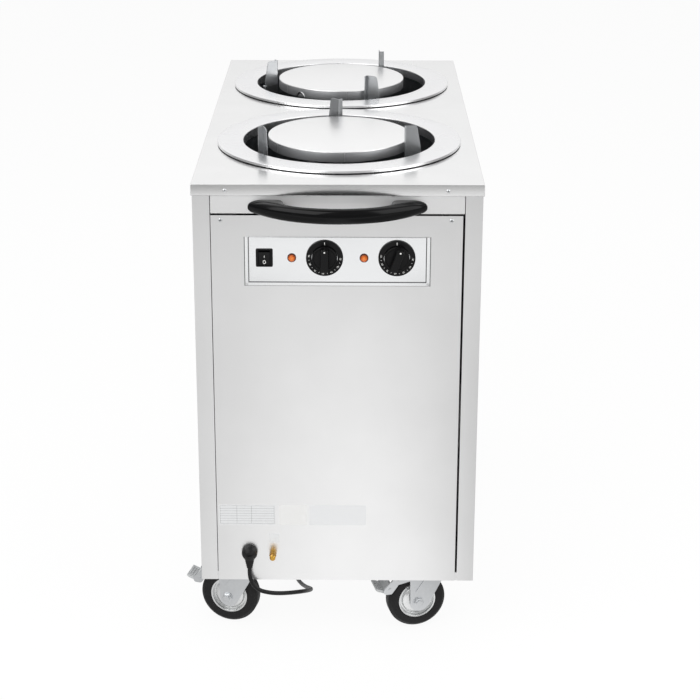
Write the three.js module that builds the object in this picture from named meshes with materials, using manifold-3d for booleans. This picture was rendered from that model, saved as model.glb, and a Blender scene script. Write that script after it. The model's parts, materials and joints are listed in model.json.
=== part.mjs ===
// A two-well heated plate dispenser cart: a stainless cabinet on four casters. Under each
// round opening a spring carries a stack of plates, and three turning guides fit the plates' size.
// Millimetres, +Z up, the control panel faces -Y, the origin is on the floor under the middle
// of the cart's footprint.
import * as THREE from 'three';
import { mergeVertices } from 'three/addons/utils/BufferGeometryUtils.js';
import Module from 'manifold-3d';

const wasm = await Module();
wasm.setup();

// ---------------------------------------------------------------- driving dimensions

// Cabinet
const cabinetWidth = 450;
const cabinetDepth = 900;
const deckHeight = 805;
const baseHeight = 120; // floor to the underside, which is the casters' height
const sheet = 1.2;
const fit = 0.3; // clearance between pieces that rest on each other
const deckSheet = 1.5;
const deckSkirt = 18.5;
const flangeWidth = 27; // the side panels' folded edges, seen from the front
const seam = 1; // between a side flange and the panel beside it
const wideSeam = 3.4; // the front panel's finger gap, on its right
const railGap = 3; // between the top rail and the front panel
const railHeight = 47.6; // from the deck's top to the rail's lower edge
const railReturn = 16;
const panelReturn = 10;
const panRim = 15;
const ventSlot = { width: 70, height: 5, pitch: 16, rows: 5, columns: 2, firstHeight: 190 };

// Wells and what stands in them
const wellSides = 32; // flats round a tube and its hole in the deck
const wheelSides = 18;
const wellSpacing = 430;
const frontWellDepth = 259; // front face to the front well's axis
const wellRadius = 175;
const wellSheet = 1.5;
const wellFloorHeight = 250;
const wellCollar = 15; // the tube's flange on the deck
const ringOuterRadius = 204;
const ringOpeningRadius = 160.5;
const ringRise = 5.5;
const ringLip = 10;
const platformRadius = 119;
const platformSheet = 1.5;
const platformRise = 13; // platform above the deck, empty
const platformSkirt = 21;
const springRadius = 50;
const springWire = 6;
const springTurns = 9;
const springSteps = 8; // points in each turn
const springClosedPitch = 7.2;
const springSeat = 12;
const heaterRadius = 95;
const heaterRod = 8;
const heaterLift = 25;
const heaterTail = 15;

// Plate guides
const guideCorner = 123.5; // from the well's axis to the guide's bend
const guideBlade = 28;
const guideLip = 9;
const guideSheet = 1.5;
const guideSkew = 38; // degrees from the radial line
const guideRise = 42; // above the deck
const guideTaper = 7;
const guideRound = 6;
const guideRod = 8;
const rodSides = 8;
const guideFirstAngles = { front: -29, rear: 53 }; // degrees, the other two follow by thirds
const guideTurns = { front: [0, 0, 38], rear: [0, 0, 0] }; // degrees outwards, as they are left
const lugRadius = 8;
const lugThickness = 3;
const lugInset = 35; // upper lug below the deck
const lugLift = 18; // lower lug above the well's floor

// Control panel
const controlDrop = 119; // from the deck down to the row of switch, lamps and dials
const controlPlate = { width: 278, above: 33.5, below: 40.5, sheet: 1.2 }; // up and down from that row
const controlRim = { width: 5, height: 2.4 };
const controlWindowInset = 5;
const leftDialOffset = 20; // left of the plate's middle
const rightDialInset = 46.3; // from the plate's right end
const lampOffset = 51.2; // from each dial to its lamp, on its left
const switchInset = 25; // from the plate's left end
const dialTurns = { left: 0, right: -20 }; // degrees
const dialRadius = 29;
const dialHeight = 4;
const knobRadius = 19.7;
const knobDisc = 5.5;
const knobGrip = { width: 15, length: 38, height: 14, taper: 1.5 };
const spindleRadius = 3;
const spindleReach = 12;
const thermostat = { width: 40, height: 44, depth: 28, bush: 5, bushReach: 1 };
const lampRadius = 7;
const lampCrown = 5.2;
const lampBody = 5.5;
const lampReach = 16;
const switchBezel = { width: 26.5, height: 29, depth: 2 };
const switchBody = { width: 22, height: 27, depth: 20 };
const rocker = { width: 18, height: 22.4, rise: 3.4, dip: 1.6, depth: 5, pin: 1.5, tilt: 8 };

// Handle
const handleSpan = 278;
const handleReach = 58;
const handleThickness = 18;
const handleTall = 24;
const handleFoot = 44;
const handleRound = 4;
const handleDrop = 37; // from the deck down to the middle of the bow

// Earth stud and cord gland
const studPlace = { x: -106, z: 171 };
const studRadius = 3;
const studNut = 6;
const studReach = 22;
const glandPlace = { x: -144.6, z: 172 };
const glandRadius = 13;
const glandReach = 15.3;
const glandStem = 6.8;
const bootOffset = 8.5;
const bootRadius = 8.7;
const bootDrop = 24;
const cordRadius = 3.5;
const plugSize = { width: 34, height: 21.6, round: 8, front: 24, back: 62, boot: 7, bootEnd: 26 };
const plugPins = { radius: 2.4, offset: 9.5, reach: 80 };

// Casters
const swivelInset = { x: 67, y: 77 }; // from the cabinet's side and from its front or back
const wheelRadius = 50;
const tyreWidth = 28;
const hubRadius = 32.2;
const hubCover = 23.5; // radius of the dished cover inside the rim's groove
const trail = 26;
const axleRadius = 5;
const axleHead = 8.5;
const forkSheet = 2.8;
const forkCrown = 29;
const crownClearance = 2.7;
const raceRadius = 26;
const raceHeight = 9.7;
const kingpinRadius = 5;
const kingpinHead = 9;
const casterPlate = { length: 90, width: 76, thickness: 3 };
const forkFoot = 17; // radius of the fork's legs round the axle
const pedalPivot = { x: 76, z: 80 };
const pedalPin = 2.5;
const pedalWidth = 34;
const pedalReach = 100.5;
const casterAngles = { front_left: 166, front_right: 194, rear_left: 172, rear_right: 187 }; // degrees

// ---------------------------------------------------------------- materials

const finish = (color, roughness, metalness) =>
  new THREE.MeshStandardMaterial({ color, roughness, metalness });
const brushedSteel = finish(0xd6d7d8, 0.38, 1);
const satinSteel = finish(0xe2e3e4, 0.25, 1);
const springSteel = finish(0x8c8f93, 0.4, 1);
const heaterSheath = finish(0x5f5a55, 0.5, 1);
const zincPlate = finish(0xb9bcc0, 0.4, 1);
const brass = finish(0xc79a45, 0.3, 1);
const blackPlastic = finish(0x141415, 0.35, 0);
const greyPlastic = finish(0x8b8e90, 0.5, 0);
const amberLens = finish(0xe0701a, 0.2, 0);
const blackRubber = finish(0x1c1c1d, 0.75, 0);
const blackPvc = finish(0x161617, 0.5, 0);

// ---------------------------------------------------------------- geometry helpers

const turn = (degrees) => THREE.MathUtils.degToRad(degrees);

/** The same surface with shared corners, no slivers, and its faces pointing out. */
function welded(geometry) {
  const bare = new THREE.BufferGeometry();
  bare.setAttribute('position', geometry.getAttribute('position'));
  bare.setIndex(geometry.index);
  const merged = mergeVertices(bare, 1e-4);
  const points = merged.getAttribute('position');
  const corners = [0, 1, 2].map(() => new THREE.Vector3());
  const triangles = [];
  let volume = 0;
  for (let i = 0; i < merged.index.count; i += 3) {
    const face = [0, 1, 2].map((k) => merged.index.getX(i + k));
    if (new Set(face).size < 3) continue;
    triangles.push(face);
    corners.forEach((corner, k) => corner.fromBufferAttribute(points, face[k]));
    volume += corners[0].dot(corners[1].clone().cross(corners[2]));
  }
  merged.setIndex(triangles.flatMap(([a, b, c]) => (volume < 0 ? [a, c, b] : [a, b, c])));
  return merged;
}

/** A solid that can be joined and cut, from a closed geometry or another solid. */
function solid(shape) {
  if (!shape.isBufferGeometry) return shape;
  const mesh = welded(shape);
  const vertProperties = new Float32Array(mesh.getAttribute('position').array);
  const triVerts = new Uint32Array(mesh.index.array);
  return new wasm.Manifold(new wasm.Mesh({ numProp: 3, vertProperties, triVerts }));
}

const join = (...shapes) => shapes.map(solid).reduce((whole, next) => whole.add(next));
const cut = (shape, ...tools) => tools.map(solid).reduce((left, tool) => left.subtract(tool), solid(shape));

/** A geometry again, from a solid. */
function surface(shape) {
  if (shape.isBufferGeometry) return welded(shape);
  const mesh = shape.getMesh();
  const geometry = new THREE.BufferGeometry();
  geometry.setAttribute('position', new THREE.BufferAttribute(new Float32Array(mesh.vertProperties), 3));
  geometry.setIndex(Array.from(mesh.triVerts));
  return geometry;
}

/** A box between two values along each axis. */
function block([x0, x1], [y0, y1], [z0, z1]) {
  const box = new THREE.BoxGeometry(x1 - x0, y1 - y0, z1 - z0);
  return box.translate((x0 + x1) / 2, (y0 + y1) / 2, (z0 + z1) / 2);
}

/** A solid of revolution about Z, from [radius, height] pairs. */
function turned(profile, segments) {
  const points = profile.map(([radius, height]) => new THREE.Vector2(radius, height));
  return new THREE.LatheGeometry(points, segments).rotateX(Math.PI / 2);
}

/** The same, from a profile that closes on itself off the axis. */
const ring = (profile, segments) => turned([...profile, profile[0]], segments);

/** A round bar along Z. */
const bar = (radius, [low, high], sides = 24) =>
  turned([[0, low], [radius, low], [radius, high], [0, high]], sides);

/** A hole that a round bar turns in: its flats clear the bar by the fit. */
const bore = (radius, span, sides) => bar((radius + fit) / Math.cos(Math.PI / sides), span, sides);

/** A flat outline in X and Y, raised along Z. */
function raised(outline, [low, high], curveSegments = 6) {
  const options = { depth: high - low, bevelEnabled: false, curveSegments };
  return new THREE.ExtrudeGeometry(outline, options).translate(0, 0, low);
}

/** An outline in X and Z, as thick as the two values along Y. */
const upright = (outline, [near, far], curveSegments = 6) =>
  raised(outline, [-far, -near], curveSegments).rotateX(Math.PI / 2);

const polygon = (points) => new THREE.Shape(points.map(([x, y]) => new THREE.Vector2(x, y)));

/** A rectangle with round corners, about the origin. */
function roundedRectangle(width, height, radius) {
  const [x, y] = [width / 2, height / 2];
  const shape = new THREE.Shape();
  shape.moveTo(x - radius, -y);
  shape.absarc(x - radius, -y + radius, radius, -Math.PI / 2, 0);
  shape.absarc(x - radius, y - radius, radius, 0, Math.PI / 2);
  shape.absarc(-x + radius, y - radius, radius, Math.PI / 2, Math.PI);
  shape.absarc(-x + radius, -y + radius, radius, Math.PI, 1.5 * Math.PI);
  return shape;
}

const disc = (radius) => new THREE.Shape().absarc(0, 0, radius, 0, 2 * Math.PI);

/** A tube along a smooth curve through the points, round in section. */
function tube(points, radius, steps, sides) {
  const extrudePath = new THREE.CatmullRomCurve3(points, false, 'centripetal');
  return new THREE.ExtrudeGeometry(disc(radius), { steps, extrudePath, curveSegments: sides });
}

/** A tube wound through many points: one unbroken skin with closed ends. */
function wound(points, radius, sides) {
  const positions = [];
  const triangles = [];
  let side = new THREE.Vector3(0, 0, 1);
  points.forEach((point, i) => {
    const before = points[Math.max(i - 1, 0)];
    const after = points[Math.min(i + 1, points.length - 1)];
    const along = after.clone().sub(before).normalize();
    side = side.addScaledVector(along, -side.dot(along)).normalize();
    const across = along.clone().cross(side);
    for (let k = 0; k < sides; k += 1) {
      const angle = (2 * Math.PI * k) / sides;
      const place = point.clone().addScaledVector(side, radius * Math.cos(angle));
      positions.push(...place.addScaledVector(across, radius * Math.sin(angle)));
    }
    if (i === 0) return;
    for (let k = 0; k < sides; k += 1) {
      const [a, b] = [(i - 1) * sides + k, (i - 1) * sides + ((k + 1) % sides)];
      triangles.push(a, b, b + sides, a, b + sides, a + sides);
    }
  });
  const last = (points.length - 1) * sides;
  for (let k = 1; k < sides - 1; k += 1) {
    triangles.push(0, k + 1, k);
    triangles.push(last, last + k, last + k + 1);
  }
  const geometry = new THREE.BufferGeometry();
  geometry.setAttribute('position', new THREE.Float32BufferAttribute(positions, 3));
  geometry.setIndex(triangles);
  return geometry;
}

/** The least air between stretches of a wound tube that lie further apart along it than reach. */
function leastGap(points, diameter, reach) {
  const travelled = [0];
  for (let i = 1; i < points.length; i += 1) {
    travelled.push(travelled[i - 1] + points[i].distanceTo(points[i - 1]));
  }
  let least = Infinity;
  for (let i = 0; i < points.length; i += 1) {
    for (let j = i + 1; j < points.length; j += 1) {
      if (travelled[j] - travelled[i] > reach) least = Math.min(least, points[i].distanceTo(points[j]));
    }
  }
  return least - diameter;
}

/** Names a piece and hangs it in the scene graph. */
function piece(name, shape, material, parent) {
  const mesh = new THREE.Mesh(surface(shape), material);
  mesh.name = name;
  parent.add(mesh);
  return mesh;
}

/** A group placed and turned inside another. */
function frame(parent, [x, y, z], { aboutX = 0, aboutZ = 0 } = {}) {
  const group = new THREE.Group();
  group.position.set(x, y, z);
  group.rotation.set(aboutX, 0, aboutZ);
  parent.add(group);
  return group;
}

// ---------------------------------------------------------------- cabinet, front face at y = 0

const cart = new THREE.Group();
const halfWidth = cabinetWidth / 2;
const flangeEdge = halfWidth - flangeWidth;
const deckUnderside = deckHeight - deckSheet;
const railLow = deckHeight - railHeight;
const panelHigh = railLow - railGap;
const wellAxes = { front: frontWellDepth, rear: frontWellDepth + wellSpacing };
const controlHeight = deckHeight - controlDrop;
const plateSpan = [controlHeight - controlPlate.below, controlHeight + controlPlate.above];

function deck() {
  const inside = halfWidth + fit;
  const outside = inside + deckSheet;
  const skirtLow = deckHeight - deckSkirt;
  const [front, back] = [-fit - deckSheet, cabinetDepth + fit + deckSheet];
  const outer = block([-outside, outside], [front, back], [skirtLow, deckHeight]);
  const hollow = block([-inside, inside], [-fit, cabinetDepth + fit], [skirtLow - 1, deckUnderside]);
  const holes = Object.values(wellAxes).map((depth) =>
    bar(wellRadius + 3 * fit, [deckUnderside - 1, deckHeight + 1], wellSides).translate(0, depth, 0));
  piece('lid', cut(outer, hollow, ...holes), satinSteel, cart);
}

function sidePanels() {
  const inside = halfWidth - sheet;
  const back = cabinetDepth - sheet;
  const outline = polygon([
    [halfWidth, 0], [halfWidth, cabinetDepth], [flangeEdge, cabinetDepth], [flangeEdge, back],
    [inside, back], [inside, sheet], [flangeEdge, sheet], [flangeEdge, 0],
  ]);
  const panel = raised(outline, [baseHeight + fit, deckUnderside - fit]);
  piece('side_panel_right', panel, brushedSteel, cart);
  const mirrored = panel.clone().applyMatrix4(new THREE.Matrix4().makeScale(-1, 1, 1));
  piece('side_panel_left', mirrored, brushedSteel, cart);
}

function frontRail() {
  const span = [-flangeEdge + seam, flangeEdge - seam];
  const face = block(span, [0, sheet], [railLow, deckUnderside - fit]);
  const shelf = block(span, [0, railReturn], [railLow, railLow + sheet]);
  piece('front_rail', join(face, shelf), brushedSteel, cart);
}

const windowHalf = controlPlate.width / 2 - controlWindowInset;
const windowHeights = [plateSpan[0] + controlWindowInset, plateSpan[1] - controlWindowInset];

function frontPanel() {
  const [left, right] = [-flangeEdge + seam, flangeEdge - wideSeam];
  const low = baseHeight + fit;
  const returnLow = baseHeight + panRim + fit;
  const face = block([left, right], [0, sheet], [low, panelHigh]);
  const returns = [left, right - sheet].map((x) =>
    block([x, x + sheet], [0, panelReturn], [returnLow, panelHigh]));
  const rimInside = controlPlate.width / 2 + fit;
  const rimOutside = rimInside + controlRim.width;
  const rimLow = plateSpan[0] - fit - controlRim.width;
  const through = [-controlRim.height - 1, sheet + 1];
  const recess = [plateSpan[0] - fit, plateSpan[1] + 1];
  const rim = cut(
    block([-rimOutside, rimOutside], [-controlRim.height, sheet / 2], [rimLow, plateSpan[1]]),
    block([-rimInside, rimInside], [-controlRim.height - 1, 0], recess),
  );
  const window = block([-windowHalf, windowHalf], through, windowHeights);
  const hole = (radius, { x, z }) =>
    bar(radius, through, 12).rotateX(-Math.PI / 2).translate(x, 0, z);
  const holes = [hole(glandStem + fit, glandPlace), hole(studRadius + fit, studPlace)];
  piece('front_panel', cut(join(face, ...returns, rim), window, ...holes), brushedSteel, cart);
}

function rearPanel() {
  const half = flangeEdge - seam;
  const back = [cabinetDepth - sheet, cabinetDepth];
  const high = deckUnderside - fit;
  const face = block([-half, half], back, [baseHeight + fit, high]);
  const returns = [-half, half - sheet].map((x) =>
    block([x, x + sheet], [cabinetDepth - panelReturn, cabinetDepth], [baseHeight + panRim + fit, high]));
  const slots = [];
  for (let row = 0; row < ventSlot.rows; row += 1) {
    for (let column = 0; column < ventSlot.columns; column += 1) {
      const x = ((column + 0.5) / ventSlot.columns - 0.5) * 2 * half;
      const z = ventSlot.firstHeight + row * ventSlot.pitch;
      const across = [x - ventSlot.width / 2, x + ventSlot.width / 2];
      slots.push(block(across, [cabinetDepth - sheet - 1, cabinetDepth + 1], [z, z + ventSlot.height]));
    }
  }
  piece('rear_panel', cut(join(face, ...returns), ...slots), brushedSteel, cart);
}

function basePan() {
  const half = halfWidth - sheet - fit;
  const inside = half - sheet;
  const [front, back] = [sheet + fit, cabinetDepth - sheet - fit];
  const heights = [baseHeight + sheet, baseHeight + panRim + 1];
  const outer = block([-half, half], [front, back], [baseHeight, baseHeight + panRim]);
  const hollow = block([-inside, inside], [front + sheet, back - sheet], heights);
  piece('base_pan', cut(outer, hollow), brushedSteel, cart);
}

// ---------------------------------------------------------------- wells

const guideHinge = new THREE.Vector2(guideCorner, 0)
  .add(new THREE.Vector2(guideBlade, 0).rotateAround(new THREE.Vector2(), turn(guideSkew)));
const guideAngles = (first) => [0, 120, 240].map((third) => turn(first + third));
const lugHeights = [wellFloorHeight + lugLift, deckHeight - lugInset];
const platformTop = deckHeight + platformRise;
const springInside = springRadius * Math.cos(Math.PI / springSteps) - springWire / 2 - fit;
const heaterHeight = wellFloorHeight + heaterLift;
const heaterLegs = [12, 348].map((angle) =>
  new THREE.Vector3(heaterRadius * Math.cos(turn(angle)), heaterRadius * Math.sin(turn(angle)), 0));

/** The tube, with the guides' lugs, the spring's seat and the heater's two holes. */
function wellTube(name, well, angles) {
  const inside = wellRadius - wellSheet;
  const floorLow = wellFloorHeight - wellSheet;
  const collarLow = deckHeight + fit;
  const collarHigh = collarLow + wellSheet;
  const collarEdge = wellRadius + wellCollar;
  const seatTop = wellFloorHeight + springSeat;
  const profile = [
    [0, floorLow], [wellRadius, floorLow], [wellRadius, collarLow], [collarEdge, collarLow],
    [collarEdge, collarHigh], [inside, collarHigh], [inside, wellFloorHeight],
    [springInside, wellFloorHeight], [springInside, seatTop], [0, seatTop],
  ];
  const lugs = [];
  const holes = heaterLegs.map((leg) =>
    bar(heaterRod / 2 + 2 * fit, [floorLow - 1, wellFloorHeight + 1], 12).translate(leg.x, leg.y, 0));
  const lugReach = wellRadius - 0.6 * wellSheet;
  const hingeRadius = guideHinge.length();
  for (const angle of angles) {
    const direction = angle + guideHinge.angle();
    for (const height of lugHeights) {
      const span = [height, height + lugThickness];
      const eye = bar(lugRadius, span, 12).translate(hingeRadius, 0, 0);
      const arm = block([hingeRadius, lugReach], [-lugRadius, lugRadius], span);
      lugs.push(join(eye, arm).rotate([0, 0, THREE.MathUtils.radToDeg(direction)]));
      const hole = bore(guideRod / 2, [height - 1, height + lugThickness + 1], rodSides);
      holes.push(hole.translate(hingeRadius, 0, 0).rotateZ(direction));
    }
  }
  piece(name, cut(join(turned(profile, wellSides), ...lugs), ...holes), brushedSteel, well);
}

/** The raised ring round the opening: rolled down on the deck outside and into the well inside. */
function topRing(name, well) {
  const top = deckHeight + ringRise;
  const under = top - deckSheet;
  const round = 1;
  const profile = [
    [ringOpeningRadius, deckHeight - ringLip], [ringOpeningRadius + deckSheet, deckHeight - ringLip],
    [ringOpeningRadius + deckSheet, under], [ringOuterRadius - deckSheet, under],
    [ringOuterRadius - deckSheet, deckHeight + fit], [ringOuterRadius, deckHeight + fit],
    [ringOuterRadius, top - round], [ringOuterRadius - round, top],
    [ringOpeningRadius + round, top], [ringOpeningRadius, top - round],
  ];
  piece(name, ring(profile, 36), satinSteel, well);
}

/** The disc that carries the stack, with a skirt and a boss that the spring goes round. */
function platform(name, well) {
  const under = platformTop - platformSheet;
  const skirtLow = platformTop - platformSkirt;
  const skirtInside = platformRadius - platformSheet;
  const round = 1.2;
  const profile = [
    [0, platformTop], [platformRadius - round, platformTop], [platformRadius, platformTop - round],
    [platformRadius, skirtLow], [skirtInside, skirtLow], [skirtInside, under], [springInside, under],
    [springInside, under - springSeat], [0, under - springSeat],
  ];
  piece(name, turned(profile, 40), satinSteel, well);
}

/** A compression spring with closed end turns, from the well's floor to the platform. */
function spring(name, well) {
  const low = wellFloorHeight + fit + springWire / 2;
  const high = platformTop - platformSheet - fit - springWire / 2;
  const openPitch = (high - low - 2 * springClosedPitch) / (springTurns - 2);
  const points = [];
  for (let step = 0; step <= springTurns * springSteps; step += 1) {
    const turns = step / springSteps;
    const open = Math.min(Math.max(turns - 1, 0), springTurns - 2);
    const height = low + open * openPitch + (turns - open) * springClosedPitch;
    const angle = 2 * Math.PI * turns;
    const [x, y] = [springRadius * Math.cos(angle), springRadius * Math.sin(angle)];
    points.push(new THREE.Vector3(x, y, height));
  }
  piece(name, wound(points, springWire / 2, 5), springSteel, well);
  return leastGap(points, springWire, Math.PI * springRadius);
}

/** A tubular heater round the spring, its two tails through the well's floor. */
function heater(name, well) {
  const lifts = [-heaterTail, 0, 0.5 * heaterLift];
  const tail = (leg) => lifts.map((lift) => leg.clone().setZ(wellFloorHeight + lift));
  const loopStep = 24; // degrees
  const loop = [];
  for (let angle = loopStep; angle <= 360 - loopStep; angle += loopStep) {
    const [x, y] = [heaterRadius * Math.cos(turn(angle)), heaterRadius * Math.sin(turn(angle))];
    loop.push(new THREE.Vector3(x, y, heaterHeight));
  }
  const points = [...tail(heaterLegs[0]), ...loop, ...tail(heaterLegs[1]).reverse()];
  piece(name, tube(points, heaterRod / 2, 30, 3), heaterSheath, well);
}

/** An L-shaped sheet guide on a full-height rod. The rod is its own origin, the bend lies along +X. */
function plateGuide(name, well, angle, outward) {
  const low = wellFloorHeight + fit;
  const bladeLow = low + 10;
  const high = deckHeight + guideRise;
  const taperedEdge = guideTaper * (1 - guideRound / guideRise);
  const blade = new THREE.Shape();
  blade.moveTo(0, bladeLow);
  blade.lineTo(guideBlade, bladeLow);
  blade.lineTo(guideBlade, high);
  blade.lineTo(guideTaper + guideRound, high);
  blade.quadraticCurveTo(guideTaper, high, taperedEdge, high - guideRound);
  blade.lineTo(0, deckHeight);
  const thickness = [-guideSheet / 2, guideSheet / 2];
  const lip = block([guideBlade - guideSheet, guideBlade], [-guideSheet / 2, guideLip], [bladeLow, high]);
  const reliefs = lugHeights.map((height) =>
    block([-guideRod, lugRadius + 1.5], [-guideRod, guideRod], [height - 3, height + lugThickness + 3]));
  const rod = bar(guideRod / 2, [low, deckHeight - 5], rodSides);
  const shape = join(cut(upright(blade, thickness, 3), ...reliefs), lip, rod);
  const hinge = guideHinge.clone().rotateAround(new THREE.Vector2(), angle);
  const facing = angle + turn(guideSkew + outward) + Math.PI;
  piece(name, shape, satinSteel, frame(well, [hinge.x, hinge.y, 0], { aboutZ: facing }));
}

function wells() {
  const gaps = [];
  for (const [place, depth] of Object.entries(wellAxes)) {
    const well = frame(cart, [0, depth, 0]);
    const angles = guideAngles(guideFirstAngles[place]);
    wellTube(`well_tube_${place}`, well, angles);
    topRing(`top_ring_${place}`, well);
    platform(`platform_${place}`, well);
    gaps.push(spring(`spring_${place}`, well));
    heater(`heater_${place}`, well);
    angles.forEach((angle, i) =>
      plateGuide(`plate_guide_${place}_${i + 1}`, well, angle, guideTurns[place][i]));
  }
  console.log(`spring: least gap to itself ${Math.min(...gaps).toFixed(2)} mm`);
}

// ---------------------------------------------------------------- control panel

const plateFace = fit + controlPlate.sheet; // how far the control plate's face stands off the front panel
const dialPlaces = { left: -leftDialOffset, right: controlPlate.width / 2 - rightDialInset };
const lampPlaces = { left: dialPlaces.left - lampOffset, right: dialPlaces.right - lampOffset };
const switchPlace = switchInset - controlPlate.width / 2;

/** A frame on the control plate: +Z comes out of the plate and +Y is up. */
const onPlate = (x, aboutAxis = 0) => {
  const outward = frame(cart, [x, -plateFace, controlHeight], { aboutX: Math.PI / 2 });
  return frame(outward, [0, 0, 0], { aboutZ: aboutAxis });
};

function plateWithHoles() {
  const half = controlPlate.width / 2;
  const face = block([-half, half], [-plateFace, -fit], plateSpan);
  const through = [-plateFace - 1, 1];
  const roundHole = (radius, x) =>
    bar(radius, [-1, plateFace + 1], 16).rotateX(Math.PI / 2).translate(x, 0, controlHeight);
  const switchHole = block(
    [switchPlace - switchBody.width / 2 - fit, switchPlace + switchBody.width / 2 + fit],
    through,
    [controlHeight - switchBody.height / 2 - fit, controlHeight + switchBody.height / 2 + fit],
  );
  const lampHoles = Object.values(lampPlaces).map((x) => roundHole(lampBody + fit, x));
  const bushHoles = Object.values(dialPlaces).map((x) => roundHole(thermostat.bush + fit, x));
  piece('control_plate', cut(face, switchHole, ...lampHoles, ...bushHoles), satinSteel, cart);
}

/** The dial's fixed ring, the knob with its spindle, and the thermostat that the spindle turns. */
function dial(side) {
  const place = onPlate(dialPlaces[side]);
  const inside = knobRadius + 2 * fit;
  const chamfer = 1;
  const bezel = [
    [inside, fit], [dialRadius, fit], [dialRadius, dialHeight - chamfer],
    [dialRadius - chamfer, dialHeight], [inside, dialHeight],
  ];
  piece(`dial_bezel_${side}`, ring(bezel, 28), blackPlastic, place);

  const knobBack = fit + thermostat.bushReach + fit;
  const knobFace = knobBack + knobDisc;
  const knob = turned([
    [0, -spindleReach], [spindleRadius, -spindleReach], [spindleRadius, knobBack], [knobRadius, knobBack],
    [knobRadius, knobFace - chamfer], [knobRadius - chamfer, knobFace], [0, knobFace],
  ], 24);
  const gripTop = knobFace + knobGrip.height;
  const [gripHalf, gripThin] = [knobGrip.width / 2, knobGrip.width / 2 - knobGrip.taper];
  const gripSection = polygon([
    [-gripHalf, knobFace - 1], [gripHalf, knobFace - 1], [gripThin, gripTop - chamfer],
    [gripThin - chamfer, gripTop], [-gripThin + chamfer, gripTop], [-gripThin, gripTop - chamfer],
  ]);
  const gripEnds = [-knobGrip.length / 2, knobGrip.length / 2];
  const gripRound = bar(knobGrip.length / 2, [0, gripTop], 24);
  const grip = solid(upright(gripSection, gripEnds)).intersect(solid(gripRound));
  const turning = onPlate(dialPlaces[side], turn(dialTurns[side]));
  piece(`knob_${side}`, join(knob, grip), blackPlastic, turning);

  const front = -controlPlate.sheet - fit;
  const [x, y] = [thermostat.width / 2, thermostat.height / 2];
  const body = block([-x, x], [-y, y], [front - thermostat.depth, front]);
  const bush = bar(thermostat.bush, [front - 1, fit + thermostat.bushReach], 12);
  const through = bore(spindleRadius, [-spindleReach - fit, fit + thermostat.bushReach + 1], 12);
  piece(`thermostat_${side}`, cut(join(body, bush), through), greyPlastic, place);
}

function lamp(side) {
  const rim = fit + 1.5;
  const profile = [
    [0, -lampReach], [lampBody, -lampReach], [lampBody, fit], [lampRadius, fit],
    [lampRadius, rim], [lampRadius - 1, rim], [0.8 * lampRadius, 0.7 * lampCrown],
    [0.5 * lampRadius, 0.95 * lampCrown], [0, lampCrown],
  ];
  piece(`indicator_lamp_${side}`, turned(profile, 16), amberLens, onPlate(lampPlaces[side]));
}

function powerSwitch() {
  const place = onPlate(switchPlace);
  const span = (size, extra = 0) => [-size / 2 - extra, size / 2 + extra];
  const face = fit + switchBezel.depth;
  const pivot = -rocker.depth / 2;
  const half = rocker.height / 2;
  const sweep = Math.hypot(half, rocker.depth) - half;
  const bezel = raised(roundedRectangle(switchBezel.width, switchBezel.height, 2), [fit, face], 3);
  const body = block(span(switchBody.width), span(switchBody.height), [-switchBody.depth, fit + 1]);
  const pocketDepths = [-2 * rocker.depth - 1, face + 1];
  const pocket = block(span(rocker.width, fit), span(rocker.height, sweep + fit), pocketDepths);
  const acrossX = (radius, reach) =>
    bar(radius, [-reach, reach], 12).rotateY(Math.PI / 2).translate(0, 0, pivot);
  const housing = cut(join(bezel, body), pocket, acrossX(rocker.pin + fit, switchBody.width));
  piece('switch_housing', housing, blackPlastic, place);

  const heel = half - 1.2;
  const saddle = polygon([
    [-half, rocker.rise], [-heel, -rocker.depth], [heel, -rocker.depth], [half, rocker.rise],
    [0, rocker.dip],
  ]);
  const key = raised(saddle, span(rocker.width)).rotateY(Math.PI / 2).rotateX(Math.PI / 2);
  const tilted = join(key, acrossX(rocker.pin, rocker.width / 2 + 1))
    .translate([0, 0, -pivot]).rotate([rocker.tilt, 0, 0]).translate([0, 0, pivot]);
  piece('switch_rocker', tilted, blackPlastic, place);
}

// ---------------------------------------------------------------- handle, gland, stud

/** A moulded bow handle: two feet on the rail, and a round bow from the one to the other. */
function handle() {
  const wall = -fit - handleRound;
  const foot = handleSpan / 2 - handleRound;
  const inner = handleSpan / 2 - handleFoot + handleRound;
  const outerMid = -handleReach + handleRound;
  const innerMid = outerMid + handleThickness - 2 * handleRound;
  const bow = new THREE.Shape();
  bow.moveTo(-foot, wall);
  bow.bezierCurveTo(-0.736 * foot, 0.64 * outerMid, -0.376 * foot, outerMid, 0, outerMid);
  bow.bezierCurveTo(0.376 * foot, outerMid, 0.736 * foot, 0.64 * outerMid, foot, wall);
  bow.lineTo(inner, wall);
  bow.lineTo(inner, 0.3 * innerMid);
  bow.bezierCurveTo(0.7 * inner, 0.76 * innerMid, 0.354 * inner, innerMid, 0, innerMid);
  bow.bezierCurveTo(-0.354 * inner, innerMid, -0.7 * inner, 0.76 * innerMid, -inner, 0.3 * innerMid);
  bow.lineTo(-inner, wall);
  const depth = handleTall - 2 * handleRound;
  const options = {
    depth, bevelThickness: handleRound, bevelSize: handleRound, bevelSegments: 2, curveSegments: 9,
  };
  const low = deckHeight - handleDrop - depth / 2;
  const shape = new THREE.ExtrudeGeometry(bow, options).translate(0, 0, low);
  piece('handle', shape, blackPlastic, cart);
}

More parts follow.
